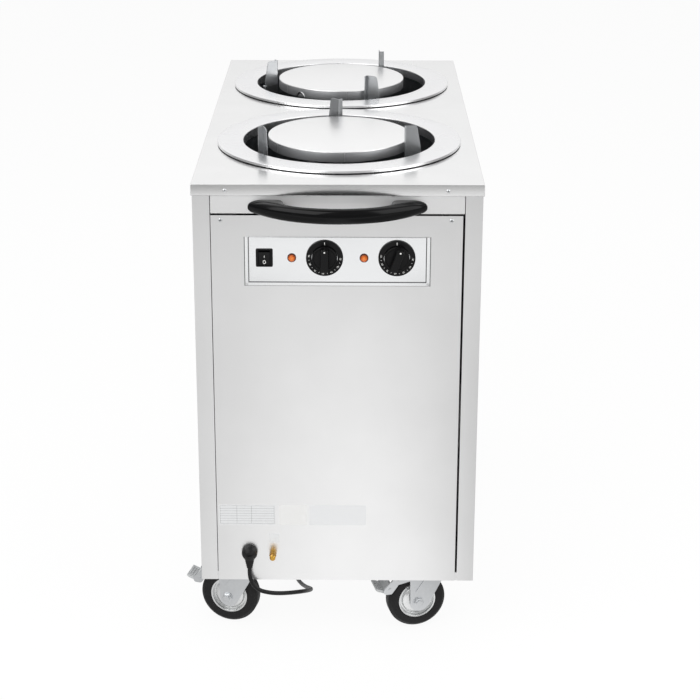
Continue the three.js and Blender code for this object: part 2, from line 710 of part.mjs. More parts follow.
/** The cord's strain relief: a stem through the panel, a bulb, and a boot that points down. */
function cordGland() {
  const place = frame(cart, [glandPlace.x, 0, glandPlace.z], { aboutX: Math.PI / 2 });
  const stemLow = -2 * glandStem;
  const bulb = turned([
    [0, stemLow], [glandStem, stemLow], [glandStem, fit], [glandRadius, fit],
    [glandRadius, 0.33 * glandReach], [0.9 * glandRadius, 0.65 * glandReach],
    [0.55 * glandRadius, 0.92 * glandReach], [0, glandReach],
  ], 16);
  const boot = turned([
    [0, -bootDrop], [cordRadius + 1.5, -bootDrop], [bootRadius, -0.23 * bootDrop], [bootRadius, 0], [0, 0],
  ], 12).rotateX(-Math.PI / 2).translate(0, 0, bootOffset);
  piece('cord_gland', join(bulb, boot), blackRubber, place);
}

/** A brass earthing stud with its nut, a washer groove and a rounded end. */
function earthStud() {
  const place = frame(cart, [studPlace.x, 0, studPlace.z], { aboutX: Math.PI / 2 });
  const nut = bar(studNut, [fit, 6], 6);
  const collar = bar(studNut - 0.8, [7.5, 13], 6);
  const stud = turned([
    [0, -10], [studRadius, -10], [studRadius, studReach - 6], [studRadius + 0.8, studReach - 6],
    [studRadius + 0.8, studReach - 1.5], [studRadius - 0.5, studReach], [0, studReach],
  ], 10);
  piece('earth_stud', join(stud, nut, collar), brass, place);
}

// ---------------------------------------------------------------- casters

const axleHeight = wheelRadius;
const crownLow = 2 * wheelRadius + crownClearance;
const crownHigh = crownLow + forkSheet;
const casterPlateLow = baseHeight - fit - casterPlate.thickness;
const raceLow = casterPlateLow - raceHeight;
const legInside = tyreWidth / 2 + 3.5;
const legOutside = legInside + forkSheet;

/** The fixed plate, with the upper race and the kingpin that the fork turns on. */
function casterTop(name, place) {
  const outline = roundedRectangle(casterPlate.length, casterPlate.width, 6);
  const plate = raised(outline, [casterPlateLow, baseHeight - fit], 2);
  const race = bar(raceRadius, [raceLow, casterPlateLow + 1], 14);
  const pin = bar(kingpinRadius, [crownLow - 2, raceLow + 1], 10);
  const head = bar(kingpinHead, [crownLow - 2.8, crownLow - fit], 10);
  piece(name, join(plate, race, pin, head), zincPlate, place);
}

/** The turning fork, with its lower race and its axle. The wheel trails along +X. */
function casterFork(name, place, braked) {
  const back = -0.74 * forkCrown;
  const shoulder = crownHigh - 6;
  const footStart = 1.15 * Math.PI;
  const leg = new THREE.Shape();
  leg.moveTo(back, crownHigh);
  leg.lineTo(back, shoulder);
  leg.absarc(trail - 2, axleHeight, forkFoot, footStart, 3 * Math.PI - footStart);
  leg.lineTo(trail - 2 + forkFoot, crownHigh - 14);
  if (braked) {
    leg.lineTo(pedalPivot.x - 14, pedalPivot.z + 6);
    leg.lineTo(pedalPivot.x - 3, pedalPivot.z - 9);
    leg.lineTo(pedalPivot.x + 10, pedalPivot.z - 9);
    leg.lineTo(pedalPivot.x + 11, pedalPivot.z);
    leg.lineTo(pedalPivot.x - 13, crownHigh - 2);
  }
  leg.lineTo(trail + forkFoot, crownHigh);
  const legSpans = [[legInside, legOutside], [-legOutside, -legInside]];
  const legs = legSpans.map((span) => upright(leg, span, 3));
  const crown = bar(forkCrown, [crownLow, crownHigh], 16);
  const bridge = block([back, trail + forkFoot - 4], [-legOutside, legOutside], [crownLow, crownHigh]);
  const race = bar(raceRadius + 1, [crownHigh - 0.5, raceLow - fit], 12);
  const kingpinHole = bore(kingpinRadius, [crownLow - 1, raceLow + 1], 10);
  const across = (radius, span, sides, x, z) =>
    bar(radius, span, sides).rotateX(Math.PI / 2).translate(x, 0, z);
  const heads = [legOutside - 0.5, legOutside + 4];
  const fasteners = [
    across(axleRadius, [-legOutside, legOutside], 10, trail, axleHeight),
    across(axleHead, heads, 6, trail, axleHeight),
    across(axleHead, [-heads[1], -heads[0]], 6, trail, axleHeight),
  ];
  if (braked) {
    const pinEnd = legInside + 1;
    fasteners.push(across(pedalPin, [-pinEnd, pinEnd], 8, pedalPivot.x, pedalPivot.z));
  }
  const body = cut(join(...legs, crown, bridge, race), kingpinHole);
  piece(name, join(body, ...fasteners), zincPlate, place);
}

/** Tyre and hub. A flat of the tyre stands on the floor. */
function casterWheel(tyreName, hubName, place) {
  const flat = Math.cos(Math.PI / wheelSides);
  const half = tyreWidth / 2;
  const upToAxle = (geometry) =>
    geometry.rotateX(Math.PI / 2).rotateY(Math.PI / wheelSides).translate(trail, 0, axleHeight);
  const outer = wheelRadius / flat;
  const seat = hubRadius + fit;
  const tyre = [
    [seat, -half + 1], [0.93 * outer, -half], [outer, -half + 5],
    [outer, half - 5], [0.93 * outer, half], [seat, half - 1],
  ];
  piece(tyreName, upToAxle(ring(tyre, wheelSides)), blackRubber, place);
  const barrel = legInside - fit;
  const axleHole = (axleRadius + fit) / flat;
  const lip = half - 1.5;
  const cover = lip - 1.5;
  const web = half / 3;
  const hub = [
    [axleHole, -barrel], [axleHole + 5, -barrel], [hubCover, -cover], [hubCover + 2, -web],
    [hubRadius - 2, -lip], [hubRadius, -lip], [hubRadius, lip], [hubRadius - 2, lip],
    [hubCover + 2, web], [hubCover, cover], [axleHole + 5, barrel], [axleHole, barrel],
  ];
  piece(hubName, upToAxle(ring(hub, wheelSides)), zincPlate, place);
}

/** The foot brake: a shoe close to the tyre, on the fork's rear pin, and a pad that tips up. */
function brakePedal(name, place) {
  const { x, z } = pedalPivot;
  const outline = polygon([
    [x - 5, z - 2], [x, z - 6.5], [x + 8, z - 8], [pedalReach - 3.5, z - 3], [pedalReach, z],
    [pedalReach - 1, z + 2.5], [x + 8, z - 3], [x + 5, z + 4], [x - 1, z + 6], [x - 5, z + 4],
  ]);
  const half = Math.min(pedalWidth / 2, legInside - fit);
  const arm = upright(outline, [-half, half]);
  const eye = bore(pedalPin, [-pedalWidth, pedalWidth], 8).rotateX(Math.PI / 2).translate(x, 0, z);
  piece(name, cut(arm, eye), greyPlastic, place);
}

function casters() {
  const sideX = halfWidth - swivelInset.x;
  for (const [place, angle] of Object.entries(casterAngles)) {
    const [end, side] = place.split('_');
    const x = side === 'left' ? -sideX : sideX;
    const y = end === 'front' ? swivelInset.y : cabinetDepth - swivelInset.y;
    casterTop(`caster_plate_${place}`, frame(cart, [x, y, 0]));
    const swivel = frame(cart, [x, y, 0], { aboutZ: turn(angle) });
    casterFork(`caster_fork_${place}`, swivel, end === 'front');
    casterWheel(`tyre_${place}`, `wheel_hub_${place}`, swivel);
    if (end === 'front') brakePedal(`brake_pedal_${place}`, swivel);
  }
}

// ---------------------------------------------------------------- power cord

// The lead leaves its boot, sags past the caster's sweep to the floor under the cart, and runs back
// to a round coil, with its plug beside it. These points were placed by hand.
const onFloor = cordRadius + 0.4;
const coilCentre = new THREE.Vector2(-42.2, 330);
const coilRadius = 51;
const coilPitch = 7.8; // between neighbouring turns
const layerRise = 7.6;
const layerTurns = 2.5;
const leadEntry = coilCentre.y - 2 * cordRadius;
const plugEntry = coilCentre.y - 32;
const leadRoute = [
  [glandPlace.x, -bootOffset, glandPlace.z - bootDrop - fit], [glandPlace.x, -bootOffset, 136],
  [-143, -9.5, 126], [-138, -11, 116], [-128, -11.5, 107], [-112, -9, 101], [-96, -3, 96.5],
  [-79, 7.5, 91.5], [-62, 21, 86], [-52, 40, 77], [-47, 62, 66], [-46, 86, 54], [-49, 110, 42],
  [-54, 134, 30], [-60, 158, 19.5], [-66.5, 182, 11], [-73, 206, 5.6], [-79, 230, onFloor],
  [-85, 256, onFloor], [-90.5, 284, onFloor], [-93.2, 308, onFloor],
  [-93.2, leadEntry - fit, onFloor],
];

/** Turns in on the floor, a climb in the half turn where the spiral reverses, and as many turns out. */
function coilPoints() {
  const stepsPerTurn = 24;
  const turns = 2 * layerTurns + 0.5;
  const reversal = layerTurns + 0.25;
  const points = [new THREE.Vector3(coilCentre.x - coilRadius, leadEntry, onFloor)];
  for (let step = 0; step <= turns * stepsPerTurn; step += 1) {
    const laid = step / stepsPerTurn; // turns so far
    const radius = coilRadius - coilPitch * (reversal - Math.abs(laid - reversal));
    const climb = Math.min(Math.max((laid - layerTurns) / 0.5, 0), 1);
    const angle = Math.PI - 2 * Math.PI * laid;
    const [x, y] = [radius * Math.cos(angle), radius * Math.sin(angle)];
    points.push(new THREE.Vector3(coilCentre.x + x, coilCentre.y + y, onFloor + climb * layerRise));
  }
  points.push(new THREE.Vector3(coilCentre.x + coilRadius, plugEntry, onFloor + layerRise));
  return points;
}

/** A moulded two-pin plug, its cord entering along +Y, on its own origin. */
function plug(place) {
  const { width, height, round, front, back, boot: bootEdge, bootEnd } = plugSize;
  const taper = [[0, 0], [cordRadius + 1, 0], [bootEdge, front - 4], [bootEdge, bootEnd], [0, bootEnd]];
  const boot = turned(taper, 16).rotateX(Math.PI / 2);
  const body = raised(roundedRectangle(width, height, round), [front, back], 3).rotateX(Math.PI / 2);
  const pins = [-plugPins.offset, plugPins.offset].map((x) =>
    bar(plugPins.radius, [back - 2, plugPins.reach], 10).rotateX(Math.PI / 2).translate(x, 0, 0));
  piece('plug', join(boot, body, ...pins), blackPvc, place);
}

function powerLead() {
  const route = leadRoute.map(([x, y, z]) => new THREE.Vector3(x, y, z));
  piece('power_cord', tube(route, cordRadius, 32, 4), blackPvc, cart);
  const coil = coilPoints();
  piece('cord_coil', wound(coil, cordRadius, 6), blackPvc, cart);
  plug(frame(cart, [coilCentre.x + coilRadius, plugEntry - fit, onFloor + layerRise]));
  const gap = leastGap(coil, 2 * cordRadius, Math.PI * cordRadius * 4);
  console.log(`cord coil: least gap to itself ${gap.toFixed(2)} mm`);
}

// ---------------------------------------------------------------- the cart

deck();
sidePanels();
frontRail();
frontPanel();
rearPanel();
basePan();
wells();
plateWithHoles();
dial('left');
dial('right');
lamp('left');
lamp('right');
powerSwitch();
handle();
cordGland();
earthStud();
casters();
powerLead();

// The origin goes under the middle of the footprint, without the loose lead.
const looseLead = ['power_cord', 'cord_coil', 'plug'];
const footprint = new THREE.Box3();
cart.updateMatrixWorld(true);
cart.traverse((child) => {
  if (child.isMesh && !looseLead.includes(child.name)) footprint.expandByObject(child, true);
});
const middle = footprint.getCenter(new THREE.Vector3());
cart.position.set(-middle.x, -middle.y, 0);

const plateDispenserCart = new THREE.Group();
plateDispenserCart.name = 'plate_dispenser_cart';
plateDispenserCart.add(cart);

export default plateDispenserCart;
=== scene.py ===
import json
import math

import bmesh
import bpy
from mathutils import Matrix, Vector


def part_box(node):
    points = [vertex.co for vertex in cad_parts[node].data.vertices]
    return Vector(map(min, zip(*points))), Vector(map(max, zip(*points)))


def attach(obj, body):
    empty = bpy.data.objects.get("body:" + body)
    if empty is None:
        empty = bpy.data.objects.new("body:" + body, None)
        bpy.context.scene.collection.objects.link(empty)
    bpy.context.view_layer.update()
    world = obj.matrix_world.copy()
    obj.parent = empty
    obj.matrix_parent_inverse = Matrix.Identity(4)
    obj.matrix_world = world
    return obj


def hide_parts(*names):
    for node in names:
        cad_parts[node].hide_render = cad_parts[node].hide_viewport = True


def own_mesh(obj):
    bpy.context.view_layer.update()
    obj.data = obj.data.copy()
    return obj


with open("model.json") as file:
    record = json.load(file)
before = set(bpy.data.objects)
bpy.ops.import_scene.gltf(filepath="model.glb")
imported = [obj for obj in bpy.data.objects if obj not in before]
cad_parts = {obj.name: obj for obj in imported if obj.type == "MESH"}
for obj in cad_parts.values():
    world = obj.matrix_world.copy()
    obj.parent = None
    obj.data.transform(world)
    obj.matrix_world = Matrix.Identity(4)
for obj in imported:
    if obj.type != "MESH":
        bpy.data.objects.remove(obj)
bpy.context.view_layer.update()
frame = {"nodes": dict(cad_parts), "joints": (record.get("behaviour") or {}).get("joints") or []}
joints = {joint["name"]: joint for joint in frame["joints"]}

MM = 0.001
ENDS = ("front", "rear")
SIDES = ("left", "right")
CORNERS = ("front_left", "front_right", "rear_left", "rear_right")

# ---------------- places taken from the frame

left_panel, right_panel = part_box("side_panel_left"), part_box("side_panel_right")
FRONT = Vector(((left_panel[0].x + right_panel[1].x) / 2, left_panel[0].y, 0))


def at(x, y, z):
    """A place on the cart, in the frame's metres."""
    return FRONT + Vector((x, y, z)) * MM


def rotation(degrees, axis):
    return Matrix.Rotation(math.radians(degrees), 4, axis)


def spot(x, y, z, about_x=0, about_y=0, about_z=0):
    """A place on the cart with a piece's own axes turned about X, then Y, then Z, in degrees."""
    turn = rotation(about_z, "Z") @ rotation(about_y, "Y") @ rotation(about_x, "X")
    return Matrix.Translation(at(x, y, z)) @ turn


def measured(point):
    """A point of the frame as a place on the cart, in millimetres."""
    return (Vector(point) - FRONT) / MM


def middle(node):
    low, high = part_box(node)
    return measured((low + high) / 2)


def low_corner(node):
    """The left, near, low corner of a node's box."""
    return measured(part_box(node)[0])


def top(node):
    return measured(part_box(node)[1]).z


def below(node, turn=0):
    """The place on the floor under the middle of a node, turned about Z."""
    centre = middle(node)
    return spot(centre.x, centre.y, 0, about_z=turn)


def joint_place(name):
    return measured(joints[name]["pos_m"])


def placed(name, data):
    """A new object of the scene that shows the data."""
    made = bpy.data.objects.new(name, data)
    bpy.context.scene.collection.objects.link(made)
    return made


DEPTH = (left_panel[1].y - left_panel[0].y) / MM
DECK = top("lid")

# ---------------- camera

IMAGE = 700  # pixels across and down
FOCAL = 1704.9  # in pixels
SENSOR = 36  # millimetres across
CLIP = (0.05, 60)  # metres, the nearest and farthest that is drawn
LENS_AXIS = (334.0, 234.5)  # where the lens axis meets the image, in pixels
CAMERA = {"place": (26.0, -2517.0, 1541.7), "down": 18.0, "aside": 0.713}  # millimetres and degrees


def set_camera():
    """A long lens from in front and above, shifted a little to keep the cabinet's sides nearly upright."""
    data = bpy.data.cameras.new("camera")
    data.sensor_width = SENSOR
    data.lens = FOCAL / IMAGE * data.sensor_width
    data.shift_x = (IMAGE / 2 - LENS_AXIS[0]) / IMAGE
    data.shift_y = (LENS_AXIS[1] - IMAGE / 2) / IMAGE
    data.clip_start, data.clip_end = CLIP
    camera = placed("camera", data)
    camera.location = at(*CAMERA["place"])
    camera.rotation_euler = (math.radians(90 - CAMERA["down"]), 0, math.radians(CAMERA["aside"]))
    bpy.context.scene.camera = camera


# ---------------- materials


def linear(colour):
    """A colour written as sRGB hex, as the linear colour that shaders use."""
    values = [int(colour[i:i + 2], 16) / 255 for i in (0, 2, 4)]
    return [v / 12.92 if v <= 0.04045 else ((v + 0.055) / 1.055) ** 2.4 for v in values] + [1]


def add(tree, kind, links=None, **settings):
    """Adds a node. A setting is one of its properties or the value of a socket, and a link's value
    is a node, whose first output is used, or a pair of a node and an output's name."""
    made = tree.nodes.new(kind)
    for name, value in settings.items():
        socket = made.inputs.get(name.replace("_", " ").title())
        if hasattr(made, name):
            setattr(made, name, value)
        else:
            socket.default_value = value
    for name, source in (links or {}).items():
        origin, output = source if isinstance(source, tuple) else (source, 0)
        tree.links.new(origin.outputs[output], made.inputs[name])
    return made


def shades(tree, factor, stops):
    """A colour or grey ramp over a factor, from (position, value) stops."""
    ramp = add(tree, "ShaderNodeValToRGB", {"Fac": factor})
    points = ramp.color_ramp.elements
    while len(points) < len(stops):
        points.new(0.5)
    for point, (position, value) in zip(points, stops):
        point.position = position
        point.color = value if isinstance(value, list) else (value, value, value, 1)
    return ramp


def material(name, slot, colour, **sockets):
    """A named surface with its Principled shader. The slot is the record's name for its finish."""
    made = bpy.data.materials.new(name)
    made.use_nodes = True
    made["slot"] = slot
    tree = made.node_tree
    shader = tree.nodes["Principled BSDF"]
    shader.inputs["Base Color"].default_value = linear(colour)
    for socket, value in sockets.items():
        shader.inputs[socket.replace("_", " ")].default_value = value
    return made, tree, shader


def grain(tree, spacing, stretch=(1, 1, 1), detail=2.0):
    """Noise in the piece's own millimetres: spacing is the size of one grain, stretch its length."""
    place = add(tree, "ShaderNodeTexCoord")
    scale = [1 / (MM * spacing * length) for length in stretch]
    mapping = add(tree, "ShaderNodeMapping", {"Vector": (place, "Object")}, scale=scale)
    return add(tree, "ShaderNodeTexNoise", {"Vector": mapping}, scale=1.0, detail=detail)


def bumped(tree, shader, height, depth, strength=1.0):
    """A relief of that depth in millimetres on the shader."""
    bump = add(tree, "ShaderNodeBump", {"Height": height}, strength=strength, distance=depth * MM)
    tree.links.new(bump.outputs[0], shader.inputs["Normal"])


def between(tree, value, start, end, low, high, kind="SMOOTHSTEP"):
    """A step from low to high while a value goes from start to end."""
    step = add(tree, "ShaderNodeMapRange", {"Value": value}, interpolation_type=kind)
    for name, number in (("From Min", start), ("From Max", end), ("To Min", low), ("To Max", high)):
        step.inputs[name].default_value = number
    return step


def combined(tree, operation, first, second):
    """A Math node over a link and a second link or number."""
    typed = isinstance(second, float)
    links = {0: first} if typed else {0: first, 1: second}
    made = add(tree, "ShaderNodeMath", links, operation=operation)
    if typed:
        made.inputs[1].default_value = second
    return made


def from_axis(tree):
    """How far a point lies from the piece's own Z axis, in metres."""
    place = add(tree, "ShaderNodeTexCoord")
    flat = add(tree, "ShaderNodeVectorMath", {0: (place, "Object")}, operation="MULTIPLY")
    flat.inputs[1].default_value = (1, 1, 0)
    return add(tree, "ShaderNodeVectorMath", {0: flat}, operation="LENGTH"), "Value"


NOISE_LOW, NOISE_HIGH = 0.3, 0.7  # where most of a noise's values lie


def roughened(tree, shader, pattern, low, high):
    """Lets the roughness wander between two values with a pattern."""
    spread = between(tree, pattern, NOISE_LOW, NOISE_HIGH, low, high, "LINEAR")
    tree.links.new(spread.outputs[0], shader.inputs["Roughness"])


def tinted(tree, shader, factor, stops):
    """Colours the shader by a ramp over a factor."""
    tree.links.new(shades(tree, factor, stops).outputs[0], shader.inputs["Base Color"])


def clouded(tree, shader, colour, pattern, darkest, start, end):
    """Lets the colour fall to a share of itself where the pattern is low."""
    light = linear(colour)
    dark = [darkest * value for value in light[:3]] + [1]
    tinted(tree, shader, pattern, [(start, dark), (end, light)])


CLOUD_DEPTH = 0.975  # how pale rolled sheet stays where it is cloudiest
BLOOM_DEPTH = 0.94  # how pale plated steel stays in its blooms
SPUN_RINGS = 2500.0  # a metre
HAIR_LINE, BLOOM = 0.3, 6.0  # millimetres


def brushed_stainless(name, slot, colour, lay, roughness=(0.26, 0.34), depth=0.004):
    """Stainless sheet rubbed with a belt: hair lines 0.3 mm apart along lay, which blur what it
    mirrors, over a faint cloudiness from the rolling."""
    made, tree, shader = material(name, slot, colour, Metallic=1.0)
    lines = grain(tree, HAIR_LINE, lay, detail=3.0)
    clouds = grain(tree, 90.0)
    roughened(tree, shader, lines, *roughness)
    clouded(tree, shader, colour, clouds, CLOUD_DEPTH, 0.35, 0.65)
    bumped(tree, shader, lines, depth)
    return made


def spun_stainless(name, slot, colour, roughness=(0.14, 0.2)):
    """Stainless formed and polished on a lathe: rings about the piece's own axis, 0.4 mm apart."""
    made, tree, shader = material(name, slot, colour, Metallic=1.0)
    coordinate = {"W": from_axis(tree)}
    rings = add(tree, "ShaderNodeTexNoise", coordinate, noise_dimensions="1D", scale=SPUN_RINGS)
    clouds = grain(tree, 60.0)
    roughened(tree, shader, clouds, *roughness)
    bumped(tree, shader, rings, 0.002, 0.6)
    return made


def plated_steel(name, slot, colour, roughness=(0.3, 0.42), depth=0.004):
    """Pressed steel, zinc plated: pale, a little uneven where the bath was, with 6 mm blooms."""
    made, tree, shader = material(name, slot, colour, Metallic=1.0)
    blooms = grain(tree, BLOOM)
    roughened(tree, shader, blooms, *roughness)
    clouded(tree, shader, colour, blooms, BLOOM_DEPTH, NOISE_LOW, NOISE_HIGH)
    bumped(tree, shader, blooms, depth, 0.5)
    return made


def moulded(name, slot, colour, roughness, sparkle=0.35, depth=0.006, **sockets):
    """A moulded plastic or rubber: the mould's etch, sparkle millimetres wide, and a cloudy sheen."""
    made, tree, shader = material(name, slot, colour, **sockets)
    etch = grain(tree, sparkle, detail=3.0)
    clouds = grain(tree, 25.0)
    roughened(tree, shader, clouds, roughness - 0.04, roughness + 0.05)
    bumped(tree, shader, etch, depth)
    return made


LENS_RIM = 7.0  # millimetres from the lamp's axis


def amber_lens():
    """Clear amber polycarbonate with painted light and shade: bright orange in the middle, brown at the
    rim.
    """
    made, tree, shader = material("amber polycarbonate", "amber_lens", "c8641c", Roughness=0.12, IOR=1.58)
    shader.inputs["Subsurface Weight"].default_value = 0.25
    shader.inputs["Subsurface Radius"].default_value = (0.004, 0.002, 0.001)
    share = combined(tree, "DIVIDE", from_axis(tree), LENS_RIM * MM)
    # painted light in the middle of the dome and painted shade towards its rim
    heart, glass, rim = linear("e8862e"), linear("c65c17"), linear("4a1c0a")
    tinted(tree, shader, share, [(0.0, heart), (0.62, glass), (0.9, rim)])
    return made


def printed(name, slot, colour, roughness=0.45, metallic=0.0):
    """A thin printed, foil or painted-shade face: even, with the faint orange peel of its varnish."""
    made, tree, shader = material(name, slot, colour, Metallic=metallic)
    peel = grain(tree, 1.2)
    roughened(tree, shader, peel, roughness - 0.05, roughness + 0.05)
    bumped(tree, shader, peel, 0.003, 0.4)
    return made


SATIN, BRUSHED = "satin_stainless", "brushed_stainless"
along_x, along_z = (60, 1, 1), (1, 1, 60)
DECK_STEEL = brushed_stainless("polished stainless deck", SATIN, "f2f2f2", along_x, (0.15, 0.22), 0.001)
PANEL_STEEL = brushed_stainless("brushed stainless panel", BRUSHED, "f8f8f8", along_z, (0.28, 0.34))
RAIL_STEEL = brushed_stainless("satin stainless rail", BRUSHED, "fafafa", along_x, (0.5, 0.58))
PLATE_STEEL = brushed_stainless("mirror stainless plate", SATIN, "f0f1f2", along_x, (0.1, 0.15), 0.0005)
SPUN_STEEL = spun_stainless("spun stainless", SATIN, "f2f2f3", (0.25, 0.31))
DISC_STEEL = spun_stainless("fine spun stainless", SATIN, "f5f5f5", (0.32, 0.38))
SKIRT_STEEL = spun_stainless("satin stainless skirt", SATIN, "c4c5c7", (0.38, 0.46))
GUIDE_STEEL = brushed_stainless("folded stainless guide", SATIN, "babcbe", along_z, (0.32, 0.42), 0.002)
WELL_STEEL = brushed_stainless("drawn steel well", BRUSHED, "8d9093", along_z, (0.35, 0.5))
SPRING_STEEL = plated_steel("oil-hardened spring wire", "spring_steel", "6d7074")
HEATER_STEEL = plated_steel("heat-blued heater sheath", "heater_sheath", "5f5a55", (0.4, 0.55))
ZINC = plated_steel("zinc-plated pressed steel", "zinc_plate", "dcdee0")
BRIGHT_ZINC = plated_steel("bright rolled zinc rim", "zinc_plate", "eceded", (0.22, 0.28), 0.0005)
BRASS = plated_steel("turned brass", "brass", "d3a54c", (0.18, 0.26))
BLACK_ABS = moulded(
    "glossy black ABS", "black_plastic", "060607", 0.14, depth=0.001, Specular_IOR_Level=0.2)
KNOB_BLACK = moulded("satin black phenolic", "black_plastic", "0d0d0e", 0.36, Specular_IOR_Level=0.22)
GREY_NYLON = moulded("grey moulded nylon", "grey_plastic", "bcbebf", 0.5)
DARK_PHENOLIC = moulded("thermostat phenolic", "grey_plastic", "6f7274", 0.55)
RUBBER = moulded(
    "black tyre rubber", "tyre_rubber", "161617", 0.6, sparkle=0.5, depth=0.01, Specular_IOR_Level=0.3)
GLAND_RUBBER = moulded("black rubber boot", "black_rubber", "0f0f10", 0.42, Specular_IOR_Level=0.3)
PVC = moulded("black PVC sheath", "black_pvc", "0e0e0f", 0.4, Specular_IOR_Level=0.3)
AMBER = amber_lens()
WHITE_INK = printed("white pad print", "black_plastic", "e9e9e6")
FOIL = printed("matt silver foil", SATIN, "e4e5e6", 0.45, 0.4)
LABEL_LINE = printed("grey printed rule", SATIN, "8f9192")
WHITE_VINYL = printed("white vinyl label", SATIN, "dbdbda")
# Painted shade: near-black faces laid in holes and recesses, where the dark is shade.
HOLE_PAINTED_SHADE = printed("painted shade in holes and recesses", "black_plastic", "0b0b0b", 0.8)
# Painted shadow: dark strips laid along slits and seams, where the dark is shade.
SEAM_SHADOW = printed("painted shadow along seams and slits", BRUSHED, "4b4c4e", 0.7)

# ---------------- shapes, in a piece's own millimetres


def rounded(corners, steps=4):
    """A closed outline whose corners are (a, b) or, to be rounded, (a, b, radius)."""
    outline = []
    for i, corner in enumerate(corners):
        here = Vector(corner[:2])
        if len(corner) == 2:
            outline.append(here)
            continue
        before = Vector(corners[i - 1][:2]) - here
        after = Vector(corners[(i + 1) % len(corners)][:2]) - here
        reach = corner[2] / math.tan(before.angle(after) / 2)
        start, end = here + before.normalized() * reach, here + after.normalized() * reach
        for step in range(steps + 1):
            t = step / steps
            outline.append(start * (1 - t) ** 2 + here * 2 * t * (1 - t) + end * t * t)
    return outline


def rectangle(width, height, radius):
    x, y = width / 2, height / 2
    return rounded([(-x, -y, radius), (x, -y, radius), (x, y, radius), (-x, y, radius)])


def arc(centre, radius, first, last, steps):
    """Points on an arc, from one angle to another in degrees."""
    angles = [math.radians(first + (last - first) * step / steps) for step in range(steps + 1)]
    return [Vector((centre[0] + radius * math.cos(a), centre[1] + radius * math.sin(a))) for a in angles]


def turned(profile, segments=96, closed=False):
    """A profile of (radius, height) turned about Z. A closed profile never touches the axis."""
    vertices, rings, faces = [], [], []
    for radius, height in profile:
        count = 1 if radius < 1e-6 else segments
        rings.append([len(vertices) + k for k in range(count)])
        for k in range(count):
            angle = 2 * math.pi * k / segments
            vertices.append((radius * math.cos(angle), radius * math.sin(angle), height))
    pairs = list(zip(rings, rings[1:])) + ([(rings[-1], rings[0])] if closed else [])
    for low, high in pairs:
        for k in range(segments):
            n = k + 1
            face = [low[k % len(low)], low[n % len(low)], high[n % len(high)], high[k % len(high)]]
            faces.append(tuple(dict.fromkeys(face)))
    return vertices, [face for face in faces if len(face) > 2]


def lofted(rings):
    """A closed skin over rings of equally many points."""
    count = len(rings[0])
    vertices = [tuple(point) for ring in rings for point in ring]
    last = len(vertices) - count
    faces = [tuple(reversed(range(count))), tuple(range(last, last + count))]
    for start in range(0, last, count):
        for k in range(count):
            n = (k + 1) % count
            faces.append((start + k, start + n, start + count + n, start + count + k))
    return vertices, faces


def slab(outline, low, high):
    """A flat outline in X and Y, raised along Z."""
    return lofted([[(x, y, z) for x, y in outline] for z in (low, high)])


def upright(outline, near, far):
    """An outline in X and Z, as thick as from near to far along Y."""
    return moved(slab(outline, -far, -near), rotation(90, "X"))


def bar(radius, low, high, sides=32):
    return turned([(0, low), (radius, low), (radius, high), (0, high)], sides)


def moved(shape, matrix):
    vertices, faces = shape
    return [tuple(matrix @ Vector(v)) for v in vertices], faces


def shifted(shape, x=0, y=0, z=0, about_x=0, about_z=0):
    """The shape turned about X, then Z, then carried along."""
    turn = rotation(about_z, "Z") @ rotation(about_x, "X")
    return moved(shape, Matrix.Translation((x, y, z)) @ turn)


def together(*shapes):
    vertices, faces = [], []
    for more_vertices, more_faces in shapes:
        faces += [tuple(len(vertices) + i for i in face) for face in more_faces]
        vertices += more_vertices
    return vertices, faces


def tube(points, radius, sides=12):
    """A round tube through many points, with closed ends."""
    rings = []
    side = Vector((0, 0, 1))
    for i, point in enumerate(points):
        along = (points[min(i + 1, len(points) - 1)] - points[max(i - 1, 0)]).normalized()
        side = (side - along * side.dot(along)).normalized()
        sideways = along.cross(side)
        angles = [2 * math.pi * k / sides for k in range(sides)]
        rings.append([point + (side * math.cos(a) + sideways * math.sin(a)) * radius for a in angles])
    return lofted(rings)


SHARP_FROM = 35  # degrees between two faces


def piece(name, shape, finish, place, body="cabinet", replaces=(), smooth=SHARP_FROM):
    """A piece on a body, made in its own millimetres at a place on the cart."""
    vertices, faces = shape
    mesh = bpy.data.meshes.new(name)
    mesh.from_pydata([Vector(v) * MM for v in vertices], [], faces)
    shell = bmesh.new()
    shell.from_mesh(mesh)
    bmesh.ops.recalc_face_normals(shell, faces=shell.faces)
    shell.to_mesh(mesh)
    shell.free()
    mesh.shade_smooth()
    mesh.set_sharp_from_angle(angle=math.radians(smooth))
    mesh.materials.append(finish)
    made = placed(name, mesh)
    made.matrix_world = place
    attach(made, body)
    if replaces:
        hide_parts(*replaces)
    return made


def softened(made, width, segments=3):
    """Rounds the piece's edges, and keeps its flats flat to the light."""
    made.data.shade_smooth()
    for edge in made.data.edges:
        edge.use_edge_sharp = False
    bevel = made.modifiers.new("rounded edges", "BEVEL")
    bevel.width, bevel.segments = width * MM, segments
    bevel.limit_method, bevel.angle_limit = "ANGLE", math.radians(SHARP_FROM)
    weighted = made.modifiers.new("flats", "WEIGHTED_NORMAL")
    weighted.weight = 100
    return made


def dressed(node, finish, edge=0.5):
    """A piece of the frame as it is, with its finish and with its folded edges rounded."""
    made = frame["nodes"][node]
    made.data.materials.clear()
    made.data.materials.append(finish)
    weld = made.modifiers.new("weld", "WELD")
    weld.merge_threshold = 0.001 * MM
    return softened(made, edge, 2)


# ---------------- lead

